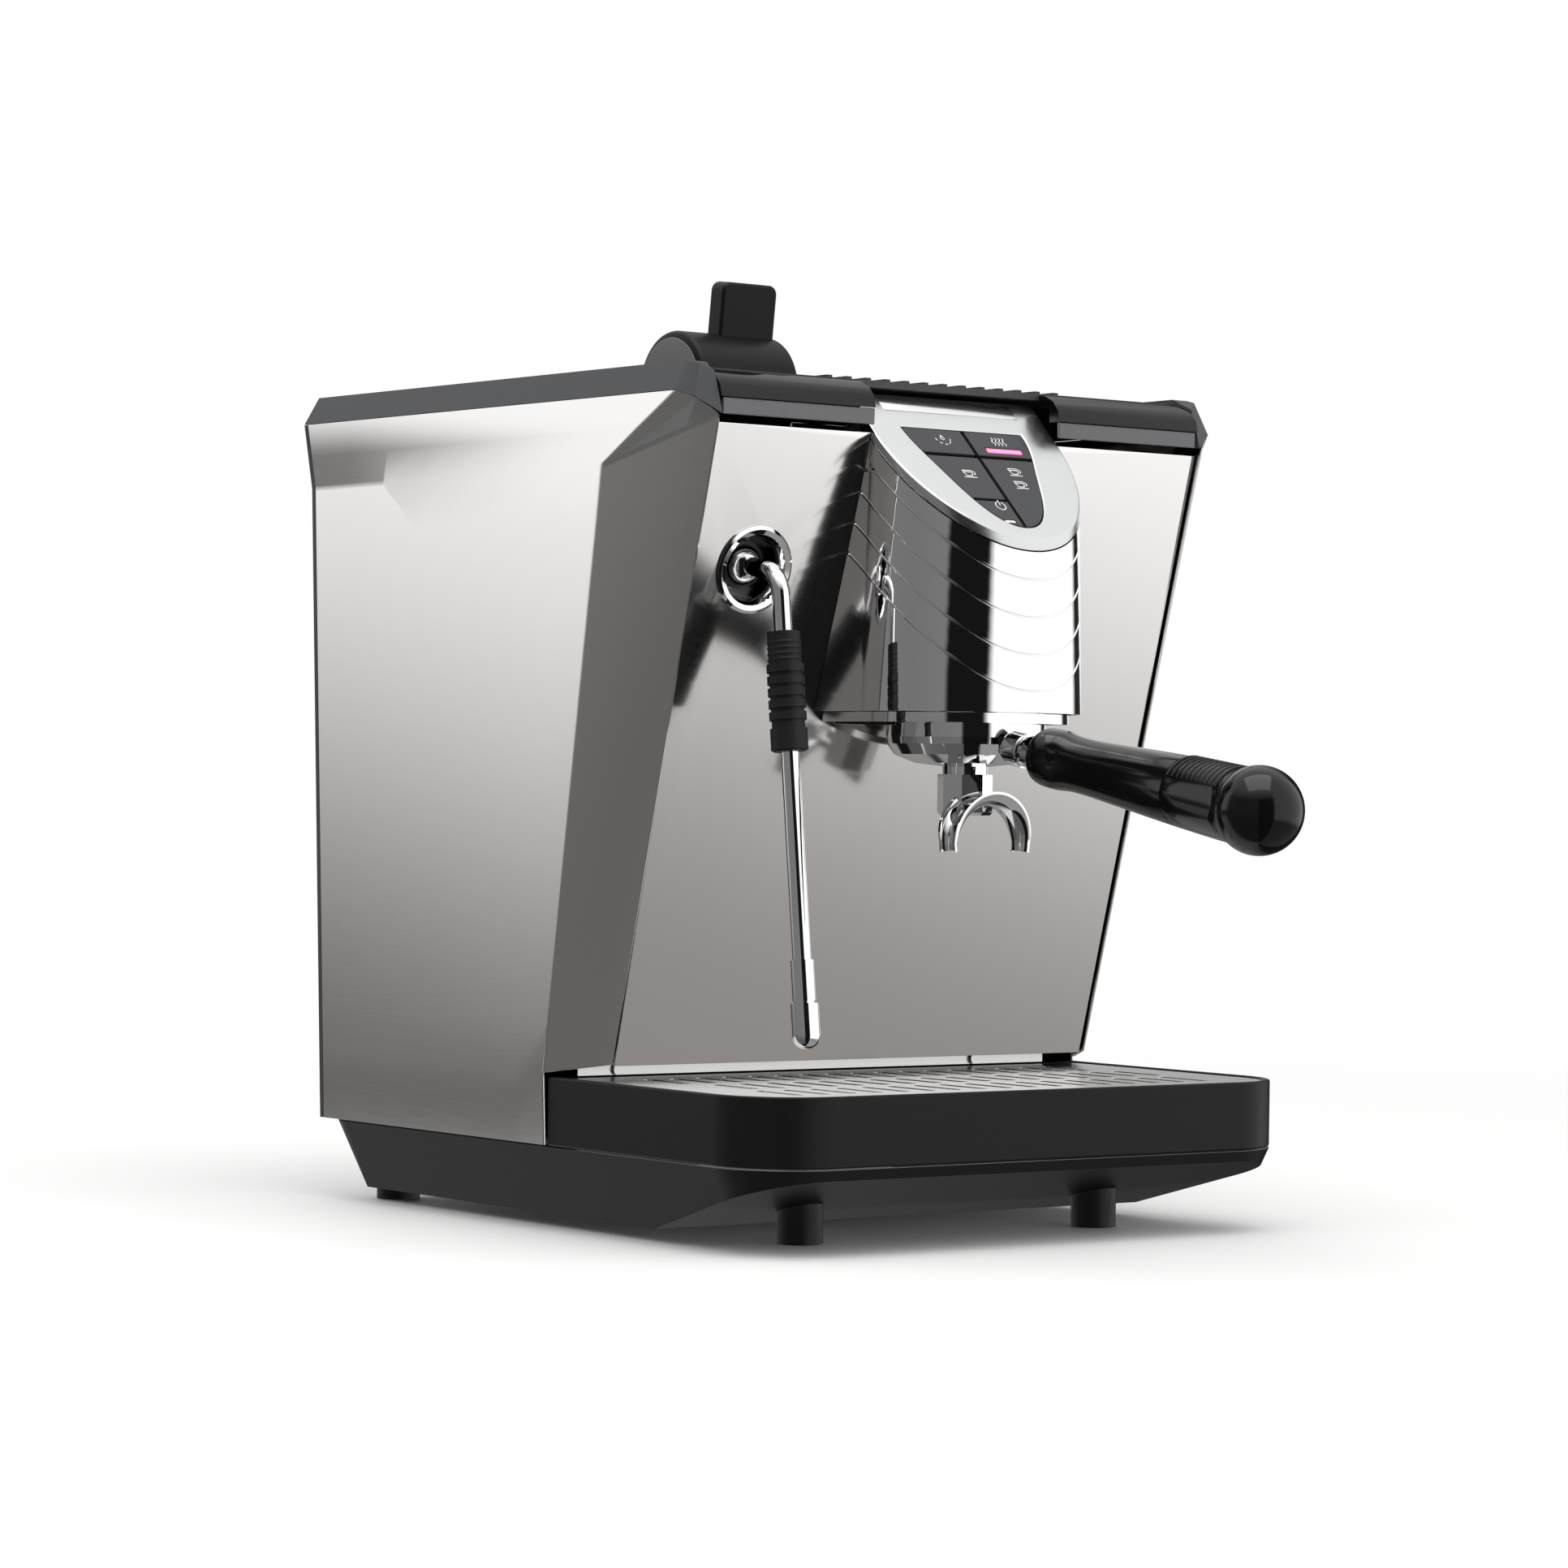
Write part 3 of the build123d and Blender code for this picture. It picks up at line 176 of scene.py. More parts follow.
def make_finishes(colours):
    """All the finishes by the record's slot names, and a few more for the fine parts."""
    steel, mirror = tuple(colours.steel), tuple(colours.mirror)
    rim, black = tuple(colours.rim), tuple(colours.black)
    light = tuple(colours.light)
    brushed = (1, 14, 40)
    finish("polished_steel", steel, 0.15, 1.0, grain=30, stretch=(2, 1, 30), uneven=0.05, mottle=0.008)
    finish("mirror_panel", mirror, 0.11, 1.0, grain=6, uneven=0.05, mottle=0.006)
    finish("satin_steel", (0.62, 0.62, 0.61), 0.28, 1.0, grain=40, stretch=brushed, bump=0.05)
    finish("black_paint", (0.02, 0.02, 0.021), 0.45, grain=900, bump=0.12)
    finish("frame_paint", (0.07, 0.07, 0.075), 0.5, grain=700, bump=0.15)
    finish("black_plastic", black, 0.4, grain=1400, bump=0.15, shine=0.16)
    finish("rim_plastic", rim, 0.5, grain=1500, bump=0.2, shine=0.25)
    finish("gloss_black", (0.004, 0.004, 0.0045), 0.12, coat=0.08, grain=30, uneven=0.2, shine=0.3)
    finish("grey_plastic", (0.12, 0.122, 0.127), 0.4, grain=900, bump=0.12)
    finish("clear_tank", (0.42, 0.46, 0.5), 0.12, grain=12, clear=0.75)
    finish("chrome", (0.9, 0.9, 0.905), 0.035, 1.0, grain=9, uneven=0.3, mottle=0.01)
    finish("bezel_metal", (0.7, 0.705, 0.71), 0.24, 1.0, grain=500, uneven=0.08, mottle=0.01)
    finish("button_plastic", (0.032, 0.033, 0.036), 0.36, grain=1600, bump=0.08, shine=0.35)
    finish("light_window", light, 0.3, grain=200, glow=light)
    finish("board", (0.01, 0.11, 0.05), 0.4, grain=300, bump=0.1)
    finish("brass", (0.66, 0.46, 0.2), 0.3, 1.0, grain=60, uneven=0.3)
    finish("rubber", (0.009, 0.009, 0.0095), 0.5, grain=900, bump=0.15, shine=0.3)
    finish("nylon", (0.012, 0.012, 0.0125), 0.35, grain=400, bump=0.1)
    finish("dark_chrome", (0.16, 0.16, 0.165), 0.12, 1.0, grain=60, uneven=0.2)
    finish("insulation", (0.55, 0.5, 0.38), 0.95, grain=260, bump=1.0, mottle=0.25)
    finish("copper", (0.72, 0.36, 0.22), 0.28, 1.0, grain=50, uneven=0.3)
    finish("white_print", (0.85, 0.85, 0.86), 0.45, grain=500)
    finish("name_plate", (0.8, 0.805, 0.81), 0.2, 1.0, grain=60, stretch=(1, 30, 30), bump=0.03)
    finish("dark_joint", (0.004, 0.004, 0.004), 0.7, grain=300, bump=0.1)


def slot_of(node):
    """The record's material slot of a CAD node."""
    return next(s["material_slot"] for s in frame["record"]["subparts"] if s["node"] == node)


def wear(nodes, name=None):
    """Gives CAD nodes their slot's finish, or another finish by name."""
    for node in nodes:
        slots = frame["nodes"][node].material_slots
        if not slots:
            raise RuntimeError(f"{node} has no material slot")
        for slot in slots:
            slot.material = FINISHES[name or slot_of(node)]


# ---------------------------------------------------------------- mesh helpers
def point(x, y, z):
    """A place given in millimetres from the machine's middle, in the frame's metres."""
    return Vector((x, y + MIDDLE, z)) * MM


def object_of(name, bm, material, angle=35.0):
    """A new object from a bmesh, smooth but for edges sharper than angle."""
    mesh = bpy.data.meshes.new(name)
    bm.to_mesh(mesh)
    bm.free()
    mesh.polygons.foreach_set("use_smooth", [True] * len(mesh.polygons))
    mesh.set_sharp_from_angle(angle=radians(angle))
    mesh.materials.append(FINISHES[material])
    made = bpy.data.objects.new(name, mesh)
    bpy.context.scene.collection.objects.link(made)
    return made


def settle(made, body, slot, *nodes):
    """Puts a finished piece on its body and hides the CAD nodes it stands for; the slot is not used."""
    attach(made, body)
    if nodes:
        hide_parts(*nodes)
    return made


def body_of(node):
    bodies = frame["record"]["behaviour"]["bodies"]
    return next(body for body, members in bodies.items() if node in members)


def flattened(made):
    """Applies an object's modifiers, so that its mesh is plain."""
    bpy.context.view_layer.update()
    graph = bpy.context.evaluated_depsgraph_get()
    mesh = bpy.data.meshes.new_from_object(made.evaluated_get(graph))
    made.modifiers.clear()
    made.data = mesh
    return made


def rounded(node, width, material=None, segments=2, sharp=28.0):
    """A CAD node's shape with its sharp edges rounded, in the node's place."""
    bm = bmesh.new()
    bm.from_mesh(frame["nodes"][node].data)
    bmesh.ops.remove_doubles(bm, verts=bm.verts, dist=2e-6)
    bmesh.ops.dissolve_limit(bm, angle_limit=radians(0.4), verts=bm.verts, edges=bm.edges)
    edges = [e for e in bm.edges if len(e.link_faces) == 2
             and e.calc_face_angle(0.0) > radians(sharp)]
    bmesh.ops.bevel(bm, geom=edges, offset=width, segments=segments, profile=0.5,
                    affect="EDGES", clamp_overlap=True)
    bmesh.ops.triangulate(bm, faces=[f for f in bm.faces if len(f.verts) > 4])
    made = object_of(node + "_shell", bm, material or slot_of(node))
    weigh = made.modifiers.new("weigh", "WEIGHTED_NORMAL")
    weigh.keep_sharp = True
    weigh.weight = 80
    flattened(made)
    return settle(made, body_of(node), slot_of(node), node)


def turned(name, profile, start, along, material, steps=64):
    """A closed turned piece from (distance, radius) pairs along an axis."""
    bm = bmesh.new()
    along = along.normalized()
    side = along.cross(Vector((0, 0, 1)))
    if side.length < 0.1:
        side = along.cross(Vector((1, 0, 0)))
    side.normalize()
    other = along.cross(side)
    rings = []
    for distance, radius in profile:
        centre = start + along * distance * MM
        rings.append([bm.verts.new(centre + (side * cos(2 * pi * i / steps)
                                             + other * sin(2 * pi * i / steps)) * radius * MM)
                      for i in range(steps)])
    for a, b in zip(rings, rings[1:]):
        for i in range(steps):
            j = (i + 1) % steps
            bm.faces.new((a[i], a[j], b[j], b[i]))
    bm.faces.new(list(reversed(rings[0])))
    bm.faces.new(rings[-1])
    bmesh.ops.recalc_face_normals(bm, faces=bm.faces)
    return object_of(name, bm, material, 32.0)


# ---------------------------------------------------------------- geometry nodes
def new_tree(name, sizes):
    """An empty tree with a geometry input, named float inputs and a material input."""
    tree = bpy.data.node_groups.new(name, "GeometryNodeTree")
    sockets = tree.interface
    sockets.new_socket("Geometry", in_out="INPUT", socket_type="NodeSocketGeometry")
    for size in sizes:
        kind = "NodeSocketInt" if size in ("Count", "Seed") else "NodeSocketFloat"
        sockets.new_socket(size, in_out="INPUT", socket_type=kind)
    sockets.new_socket("Step", in_out="INPUT", socket_type="NodeSocketVector")
    sockets.new_socket("Start", in_out="INPUT", socket_type="NodeSocketVector")
    sockets.new_socket("Turn", in_out="INPUT", socket_type="NodeSocketRotation")
    sockets.new_socket("Finish", in_out="INPUT", socket_type="NodeSocketMaterial")
    sockets.new_socket("Geometry", in_out="OUTPUT", socket_type="NodeSocketGeometry")
    tree.nodes.new("NodeGroupInput")
    tree.nodes.new("NodeGroupOutput")
    return tree


def end_tree(tree, shape, scale=None):
    """Sets copies of a shape along a line, makes them real and gives them their finish."""
    given = tree.nodes["Group Input"]
    line = tree.nodes.new("GeometryNodeMeshLine")
    line.mode = "OFFSET"
    spread = tree.nodes.new("GeometryNodeInstanceOnPoints")
    real = tree.nodes.new("GeometryNodeRealizeInstances")
    smooth = tree.nodes.new("GeometryNodeSetShadeSmooth")
    coat = tree.nodes.new("GeometryNodeSetMaterial")
    join = tree.links.new
    join(given.outputs["Count"], line.inputs["Count"])
    join(given.outputs["Start"], line.inputs["Start Location"])
    join(given.outputs["Step"], line.inputs["Offset"])
    join(line.outputs["Mesh"], spread.inputs["Points"])
    join(shape, spread.inputs["Instance"])
    join(given.outputs["Turn"], spread.inputs["Rotation"])
    if scale:
        join(scale, spread.inputs["Scale"])
    join(spread.outputs["Instances"], smooth.inputs["Geometry"])
    join(smooth.outputs["Geometry"], real.inputs["Geometry"])
    join(real.outputs["Geometry"], coat.inputs["Geometry"])
    join(given.outputs["Finish"], coat.inputs["Material"])
    join(coat.outputs["Geometry"], tree.nodes["Group Output"].inputs["Geometry"])
    return tree


def ring_tree():
    """Arcs of round section along a line, each a little wider than the one before."""
    tree = new_tree("Ring row", ("Count", "Radius", "Thickness", "Growth",
                                 "First angle", "Sweep angle"))
    given = tree.nodes["Group Input"]
    major = tree.nodes.new("GeometryNodeCurveArc")
    major.inputs["Resolution"].default_value = 73
    tree.links.new(given.outputs["First angle"], major.inputs["Start Angle"])
    tree.links.new(given.outputs["Sweep angle"], major.inputs["Sweep Angle"])
    minor = tree.nodes.new("GeometryNodeCurvePrimitiveCircle")
    minor.inputs["Resolution"].default_value = 10
    sweep = tree.nodes.new("GeometryNodeCurveToMesh")
    sweep.inputs["Fill Caps"].default_value = True
    index = tree.nodes.new("GeometryNodeInputIndex")
    grow = tree.nodes.new("ShaderNodeMath")
    grow.operation = "MULTIPLY_ADD"
    grow.inputs[2].default_value = 1.0
    tree.links.new(given.outputs["Radius"], major.inputs["Radius"])
    tree.links.new(given.outputs["Thickness"], minor.inputs["Radius"])
    tree.links.new(major.outputs["Curve"], sweep.inputs["Curve"])
    tree.links.new(minor.outputs["Curve"], sweep.inputs["Profile Curve"])
    tree.links.new(index.outputs["Index"], grow.inputs[0])
    tree.links.new(given.outputs["Growth"], grow.inputs[1])
    return end_tree(tree, sweep.outputs["Mesh"], grow.outputs["Value"])


def grown(name, tree, values, material):
    """One mesh from a tree, with its inputs set by name."""
    mesh = bpy.data.meshes.new(name)
    made = bpy.data.objects.new(name, mesh)
    bpy.context.scene.collection.objects.link(made)
    modifier = made.modifiers.new("grow", "NODES")
    modifier.node_group = tree
    for item in tree.interface.items_tree:
        if item.in_out == "INPUT" and item.name in values:
            modifier[item.identifier] = values[item.name]
        elif item.in_out == "INPUT" and item.name == "Finish":
            modifier[item.identifier] = FINISHES[material]
    flattened(made)
    made.data.set_sharp_from_angle(angle=radians(40))
    return made


# ---------------------------------------------------------------- the bezel's plane
def on_bezel(x, y, lift=0.0):
    """A place on the control face: x to the right, y up the slope, lift above the face."""
    edge_y, edge_z = BEZEL_EDGE
    c, s = cos(BEZEL_SLOPE), sin(BEZEL_SLOPE)
    return point(x, edge_y + y * c - lift * s, edge_z + y * s + lift * c)


def stroke(bm, points, width, low, high):
    """A flat printed line on the control face, as a thin closed ribbon."""
    count = len(points)
    sides = []
    for i, p in enumerate(points):
        a = Vector(points[max(i - 1, 0)])
        b = Vector(points[min(i + 1, count - 1)])
        way = (b - a).normalized()
        out = Vector((-way.y, way.x)) * width / 2
        sides.append([bm.verts.new(on_bezel(*(Vector(p) + out * k), h))
                      for k, h in ((1, low), (1, high), (-1, high), (-1, low))])
    for a, b in zip(sides, sides[1:]):
        for i in range(4):
            j = (i + 1) % 4
            bm.faces.new((a[i], b[i], b[j], a[j]))
    bm.faces.new(sides[0])
    bm.faces.new(list(reversed(sides[-1])))


def arc(cx, cy, radius, start, end, steps=20):
    """Points of an arc, angles in degrees."""
    return [(cx + radius * cos(radians(start + (end - start) * i / steps)),
             cy + radius * sin(radians(start + (end - start) * i / steps)))
            for i in range(steps + 1)]


def cup_strokes(cx, cy, size):
    """A cup with its handle and saucer."""
    body = [(-2.6, 1.9), (-2.2, -0.2), (-1.4, -1.6), (1.3, -1.6), (2.1, -0.2), (2.5, 1.9), (-2.6, 1.9)]
    handle = arc(2.6, 0.4, 1.1, 80, -80, 10)
    saucer = [(-3.4, -2.5), (3.4, -2.5)]
    fill = [(-2.1, 0.9), (2.0, 0.9)]
    return [[(cx + x * size, cy + y * size) for x, y in line] for line in (body, handle, saucer, fill)]


def button_strokes():
    """The printed signs of each button."""
    wave = [0.55 * sin(pi * k / 4) for k in range(13)]
    drop = [(-14 + 0.0, -25.2), (-15.0, -27.6), (-14, -28.5), (-13.0, -27.6), (-14, -25.2)]
    bowl = [arc(-14, -27.2, 4.0, a, a + 20, 4) for a in (185, 225, 265, 305, 335)]
    steam = [[(x + wave[k], -24.6 - 0.42 * k) for k in range(13)] for x in (14.2, 16.2, 18.2, 20.2)]
    power = [arc(-6.4, -70.5, 2.5, 115, 425, 28), [(-6.4, -66.9), (-6.4, -70.2)]]
    return {
        "drip_button": [drop] + bowl,
        "steam_button": steam,
        "one_cup_button": cup_strokes(-12.4, -50.0, 1.0),
        "two_cup_button": cup_strokes(14.6, -47.0, 1.0) + cup_strokes(13.2, -55.4, 1.0),
        "power_button": power,
    }


# ---------------------------------------------------------------- the side panels
def back_y(z):
    """Y of the casing's rear face at a height, less the back sheet."""
    return 166.5 + 11.2 * (z - 37.4) / 320.8 - 3.3


def patch(bm, corners, across, up):
    """A grid through four corners: the first edge is crossed in across steps, the second in up."""
    a, b, c, d = (Vector(p) for p in corners)
    grid = [[bm.verts.new(point(*a.lerp(b, i / across).lerp(d.lerp(c, i / across), j / up)))
             for i in range(across + 1)] for j in range(up + 1)]
    for low, high in zip(grid, grid[1:]):
        for i in range(across):
            bm.faces.new((low[i], low[i + 1], high[i + 1], high[i]))


def fan(bm, tip, start, end, steps):
    """Triangles from a tip to the steps of an edge."""
    a, b = Vector(start), Vector(end)
    for i in range(steps):
        bm.faces.new([bm.verts.new(point(*p)) for p in
                      (Vector(tip), a.lerp(b, i / steps), a.lerp(b, (i + 1) / steps))])


def side_panel_mesh(side, width):
    """Main face, flared band above it and the twisted facet that turns in towards the front."""
    foot, kink, face, top = 37.4, 68.0, 328.5, 357.9
    rear_foot, rear_kink = (-149.5, back_y(foot), foot), (-149.8, back_y(kink), kink)
    rear_face, rear_top = (-152.5, back_y(face), face), (-156.46, back_y(top), top)
    front_foot, crease_low = (-149.5, -19.4, foot), (-149.8, -19.4, kink)
    crease_high = (-148, -54, face)
    band_nose, corner, nose = (-145.5, -104, top), (-142.4, -114.5, 354.4), (-134.4, -120.2, 347.4)
    turn_low, turn_mid = (-132.5, -45.9, 72.2), (-134.6, -33.0, 74.5)
    bm = bmesh.new()
    patch(bm, (rear_foot, front_foot, crease_low, rear_kink), 8, 1)
    patch(bm, (rear_kink, crease_low, crease_high, rear_face), 8, 12)
    patch(bm, (rear_face, crease_high, band_nose, rear_top), 8, 2)
    patch(bm, (crease_low, turn_low, nose, crease_high), 4, 12)
    fan(bm, corner, nose, crease_high, 4)
    fan(bm, corner, crease_high, band_nose, 2)
    fan(bm, turn_mid, crease_low, turn_low, 4)
    bmesh.ops.remove_doubles(bm, verts=bm.verts, dist=2e-6)
    for vert in bm.verts:
        vert.co.x *= side
    bmesh.ops.recalc_face_normals(bm, faces=bm.faces)
    if sum(f.normal.x * f.calc_area() for f in bm.faces) * side > 0:
        bmesh.ops.reverse_faces(bm, faces=bm.faces)
    folds = [e for e in bm.edges if len(e.link_faces) == 2 and e.calc_face_angle(0.0) > radians(5)]
    bmesh.ops.bevel(bm, geom=folds, offset=width, segments=3, profile=0.5, affect="EDGES",
                    clamp_overlap=True)
    return bm


# ---------------------------------------------------------------- the group cover
def cover_spans(z):
    """Half width, nose length and root half width of the cover at a height."""
    k = (z - COVER_LOW) / (COVER_TOP - COVER_LOW)
    return 54.0 - 3.4 * k, 50.0 - 2.4 * k, 58.0 - 5.4 * k


def panel_y(z):
    """Y of the leaning front panel at a height."""
    return -44.9 - 71.9 * (z - 72.2) / 272.6


def cover_point(u, z, above, inset=0.0):
    """A place on the cover. u runs 0 to 1 from the left rear edge around the nose to the right one."""
    half, nose, root = (v - inset for v in cover_spans(z))
    rear = BEZEL_EDGE[0] if above else panel_y(z) - 0.3
    rear = max(rear, COVER_Y)
    side = 0.24
    if side <= u <= 1 - side:
        a = pi * (u - side) / (1 - 2 * side)
        return Vector((-half * cos(a), COVER_Y - nose * sin(a), z))
    t = (u if u < side else 1 - u) / side
    y = rear + (COVER_Y - rear) * t
    k = (y - COVER_Y) / (COVER_REAR - COVER_Y)
    x = half + (root - half) * k
    return Vector((-x if u < side else x, y, z))


def groove_height(y, front):
    """Height of a groove that is lowest at the nose and climbs towards the panel."""
    back = max(0.0, y - (COVER_Y - 50))
    return min(front + 1.18 * back - 0.0037 * back * back, NOTCH - 3.0)


def bezel_height(y):
    """Height of the bezel's underside over a place."""
    return BEZEL_EDGE[1] + (y - BEZEL_EDGE[0]) * tan(BEZEL_SLOPE) - BEZEL_THICK / cos(BEZEL_SLOPE)


def height_at(u, rule, above):
    """The height where a column of the cover meets a rule that depends on Y."""
    z = rule(cover_point(u, 290, above).y)
    for _ in range(12):
        z = rule(cover_point(u, z, above).y)
    return z


def cover_column(u, depth, half):
    """Every point of one column of the cover, from the foot to the bezel."""
    rows = [(COVER_LOW + 0.1, 0.0, False), (COVER_LOW + 0.4, 0.0, False)]
    last = COVER_LOW + 0.4
    for front in (235.0, 250.2, 265.8, 281.5):
        z = height_at(u, lambda y: groove_height(y, front), False)
        for k in (0.33, 0.67):
            rows.append((last + (z - half - last) * k, 0.0, False))
        for step, share in ((-1.0, 0.0), (-0.82, 0.35), (-0.45, 0.9), (0.0, 1.0), (0.45, 0.9),
                            (0.82, 0.35), (1.0, 0.0)):
            rows.append((z + step * half, share * depth, False))
        last = z + half
    top = height_at(u, bezel_height, True)
    mid = min(NOTCH - 0.02, top)
    for k in (0.3, 0.65, 1.0):
        rows.append((last + (mid - last) * k, 0.0, False))
    for k in (0.0, 0.5, 1.0):
        low = min(NOTCH + 0.02, top)
        rows.append((low + (top - low) * k, 0.0, True))
    return [cover_point(u, z, above, inset) for z, inset, above in rows]


def cover_mesh(depth, half, columns=120):
    """The cover's sheet as a grid whose rows follow the grooves and the bezel."""
    bm = bmesh.new()
    grid = []
    for i in range(columns + 1):
        grid.append([bm.verts.new(point(*p)) for p in cover_column(i / columns, depth, half)])
    for a, b in zip(grid, grid[1:]):
        for j in range(len(a) - 1):
            bm.faces.new((a[j], b[j], b[j + 1], a[j + 1]))
    bmesh.ops.remove_doubles(bm, verts=bm.verts, dist=3e-6)
    return bm


# ---------------------------------------------------------------- pieces
class ESPRESSO_OT_finishes(bpy.types.Operator):
    """Makes the finishes that every piece wears"""
    bl_idname = "espresso.finishes"
    bl_label = "Finishes"

    def execute(self, context):
        make_finishes(context.scene.espresso_colours)
        wear(frame["nodes"])
        return {"FINISHED"}


class ESPRESSO_OT_casing(bpy.types.Operator):
    """Rounds the folded edges of the casing's sheets"""
    bl_idname = "espresso.casing"
    bl_label = "Casing"

    def execute(self, context):
        edge = context.scene.espresso_sizes.edge
        for side, node in ((1, "left_side_panel"), (-1, "right_side_panel")):
            made = object_of(node + "_skin", side_panel_mesh(side, edge * 1.6), "polished_steel", 60.0)
            wall = made.modifiers.new("wall", "SOLIDIFY")
            wall.thickness = 0.0012
            wall.offset = -1.0
            weigh = made.modifiers.new("weigh", "WEIGHTED_NORMAL")
            weigh.weight = 90
            flattened(made)
            settle(made, "machine", "polished_steel", node)
        rounded("front_panel", edge * 0.45)
        rounded("lower_front_strip", edge * 0.4)
        rounded("back_panel", edge * 0.5)
        return {"FINISHED"}


class ESPRESSO_OT_top(bpy.types.Operator):
    """Rounds the rim, the cap and the cup tray"""
    bl_idname = "espresso.top"
    bl_label = "Rim, cap and cup tray"

    def execute(self, context):
        rounded("top_rim", 0.0011)
        rounded("front_cap", 0.0009)
        rounded("cap_strip", 0.0004)
        rounded("cup_tray", 0.0003)
        return {"FINISHED"}


class ESPRESSO_OT_cover(bpy.types.Operator):
    """Builds the chrome cover of the brewing group with its grooves"""
    bl_idname = "espresso.cover"
    bl_label = "Group cover"

    def execute(self, context):
        sizes = context.scene.espresso_sizes
        bm = cover_mesh(sizes.groove_depth / MM, sizes.groove_half / MM)
        bmesh.ops.recalc_face_normals(bm, faces=bm.faces)
        nose = point(0, COVER_Y - 30, 0).y
        outward = sum(f.normal.y for f in bm.faces if f.calc_center_median().y < nose)
        if outward > 0:
            bmesh.ops.reverse_faces(bm, faces=bm.faces)
        made = object_of("group_cover_shell", bm, "chrome", 60.0)
        wall = made.modifiers.new("wall", "SOLIDIFY")
        wall.thickness = 0.0018
        wall.offset = -1.0
        flattened(made)
        made.data.set_sharp_from_angle(angle=radians(50))
        settle(made, "machine", "chrome", "group_cover")
        return {"FINISHED"}


class ESPRESSO_OT_controls(bpy.types.Operator):
    """Dresses the bezel and the buttons, and prints the buttons' signs"""
    bl_idname = "espresso.controls"
    bl_label = "Controls"

    def execute(self, context):
        rounded("control_bezel", 0.0009, sharp=40.0, segments=3)
        lights = rounded("indicator_lights", 0.0001, sharp=40.0).data
        lights.materials.append(FINISHES["white_print"])
        middle = on_bezel(0, -50).z
        for face in lights.polygons:
            face.material_index = int(face.center.z < middle)
        for node, lines in button_strokes().items():
            rounded(node, 0.0004, sharp=40.0)
            bm = bmesh.new()
            for line in lines:
                stroke(bm, line, 0.42, -0.34, -0.2)
            bmesh.ops.recalc_face_normals(bm, faces=bm.faces)
            settle(object_of(node + "_sign", bm, "white_print", 30.0), node, None)
        bm = bmesh.new()
        stroke(bm, [(-37, -6.8), (37, -6.8)], 8.6, -0.3, 0.35)
        bmesh.ops.recalc_face_normals(bm, faces=bm.faces)
        bmesh.ops.bevel(bm, geom=bm.edges[:], offset=0.0003, segments=2, affect="EDGES", profile=0.5)
        settle(object_of("blank_plate", bm, "name_plate", 30.0), "machine", "bezel_metal")
        return {"FINISHED"}


class ESPRESSO_OT_portafilter(bpy.types.Operator):
    """Turns the portafilter's grip and ball end, with rings around the end"""
    bl_idname = "espresso.portafilter"
    bl_label = "Portafilter"

    def execute(self, context):
        sizes = context.scene.espresso_sizes
        start = point(0, *HANDLE_FROM)
        along = Vector((0, -cos(HANDLE_DROOP), -sin(HANDLE_DROOP)))
        grip = [(58.2, 9.0), (58.6, 10.6), (59.6, 11.7), (61.5, 12.4), (66, 12.7), (72, 12.6),
                (80, 11.9), (92, 12.0), (108, 12.8), (124, 13.6), (140, 14.4), (149.6, 14.8)]
        settle(turned("grip", smooth_profile(grip), start, along, "gloss_black", 96),
               "portafilter", "gloss_black", "portafilter_handle")
        ball = [(194 + 18.3 * sin(radians(a)), 18.3 * cos(radians(a))) for a in range(-30, 91, 4)]
        end = [(149.9, 14.7), (151, 14.9), (160, 15.2), (172, 15.6), (180, 15.75)] + ball[:-1]
        end.append((194 + 18.3, 0.3))
        settle(turned("ball_end", end, start, along, "gloss_black", 96),
               "portafilter", "gloss_black", "handle_end")
        settle(object_of("spout_shell", spout_mesh(), "chrome", 40.0), "portafilter", "chrome", "spout")
        foot, upward = point(0, GROUP_Y, SPOUT_FOOT), Vector((0, 0, 1))
        for name, profile, steps in (("spout_boss", [(0, 11.0), (1.2, 12.0), (17.6, 12.0)], 8),
                                     ("spout_neck", [(17.0, 9.8), (23.4, 9.8)], 48)):
            settle(turned(name, profile, foot, upward, "chrome", steps), "portafilter", "chrome")
        rings = grown("grip_rings", ring_tree(), {
            "Count": sizes.grip_rings, "Radius": 0.0149, "Thickness": 0.0006, "Growth": 0.0048,
            "First angle": radians(90 - 62), "Sweep angle": radians(124),
            "Step": along * 0.003, "Start": start + along * 0.1515,
            "Turn": along.to_track_quat("Z", "Y").to_euler(),
        }, "rubber")
        settle(rings, "portafilter", "gloss_black")
        return {"FINISHED"}


def spout_mesh():
    """A trough that arches to both sides and narrows to its two lips."""
    y, z, radius = SPOUT_ARCH
    ring, turn = 28, 48
    bm = bmesh.new()
    rows = []
    for i in range(turn + 1):
        angle = radians(-12 + 204 * i / turn)
        outward = Vector((cos(angle), 0, sin(angle)))
        middle = Vector((0, y, z)) + outward * radius
        narrow = 0.62 + 0.38 * max(0.0, sin(angle)) ** 0.8
        section = []
        for depth, ways in ((0.0, 1), (SPOUT_WALL, -1)):
            for k in range(ring + 1)[::ways]:
                around = pi * k / ring
                wide, deep = SPOUT_HALF_WIDTH - depth, (SPOUT_DEPTH - depth) * narrow
                section.append(middle + Vector((0, cos(around) * wide * narrow, 0))
                               + outward * (deep * (0.45 - sin(around))))
        rows.append([bm.verts.new(point(*p)) for p in section])
    for low, high in zip(rows, rows[1:]):
        for k in range(len(low)):
            j = (k + 1) % len(low)
            bm.faces.new((low[k], low[j], high[j], high[k]))
    bm.faces.new(rows[0][::-1])
    bm.faces.new(rows[-1])
    bmesh.ops.recalc_face_normals(bm, faces=bm.faces)
    return bm


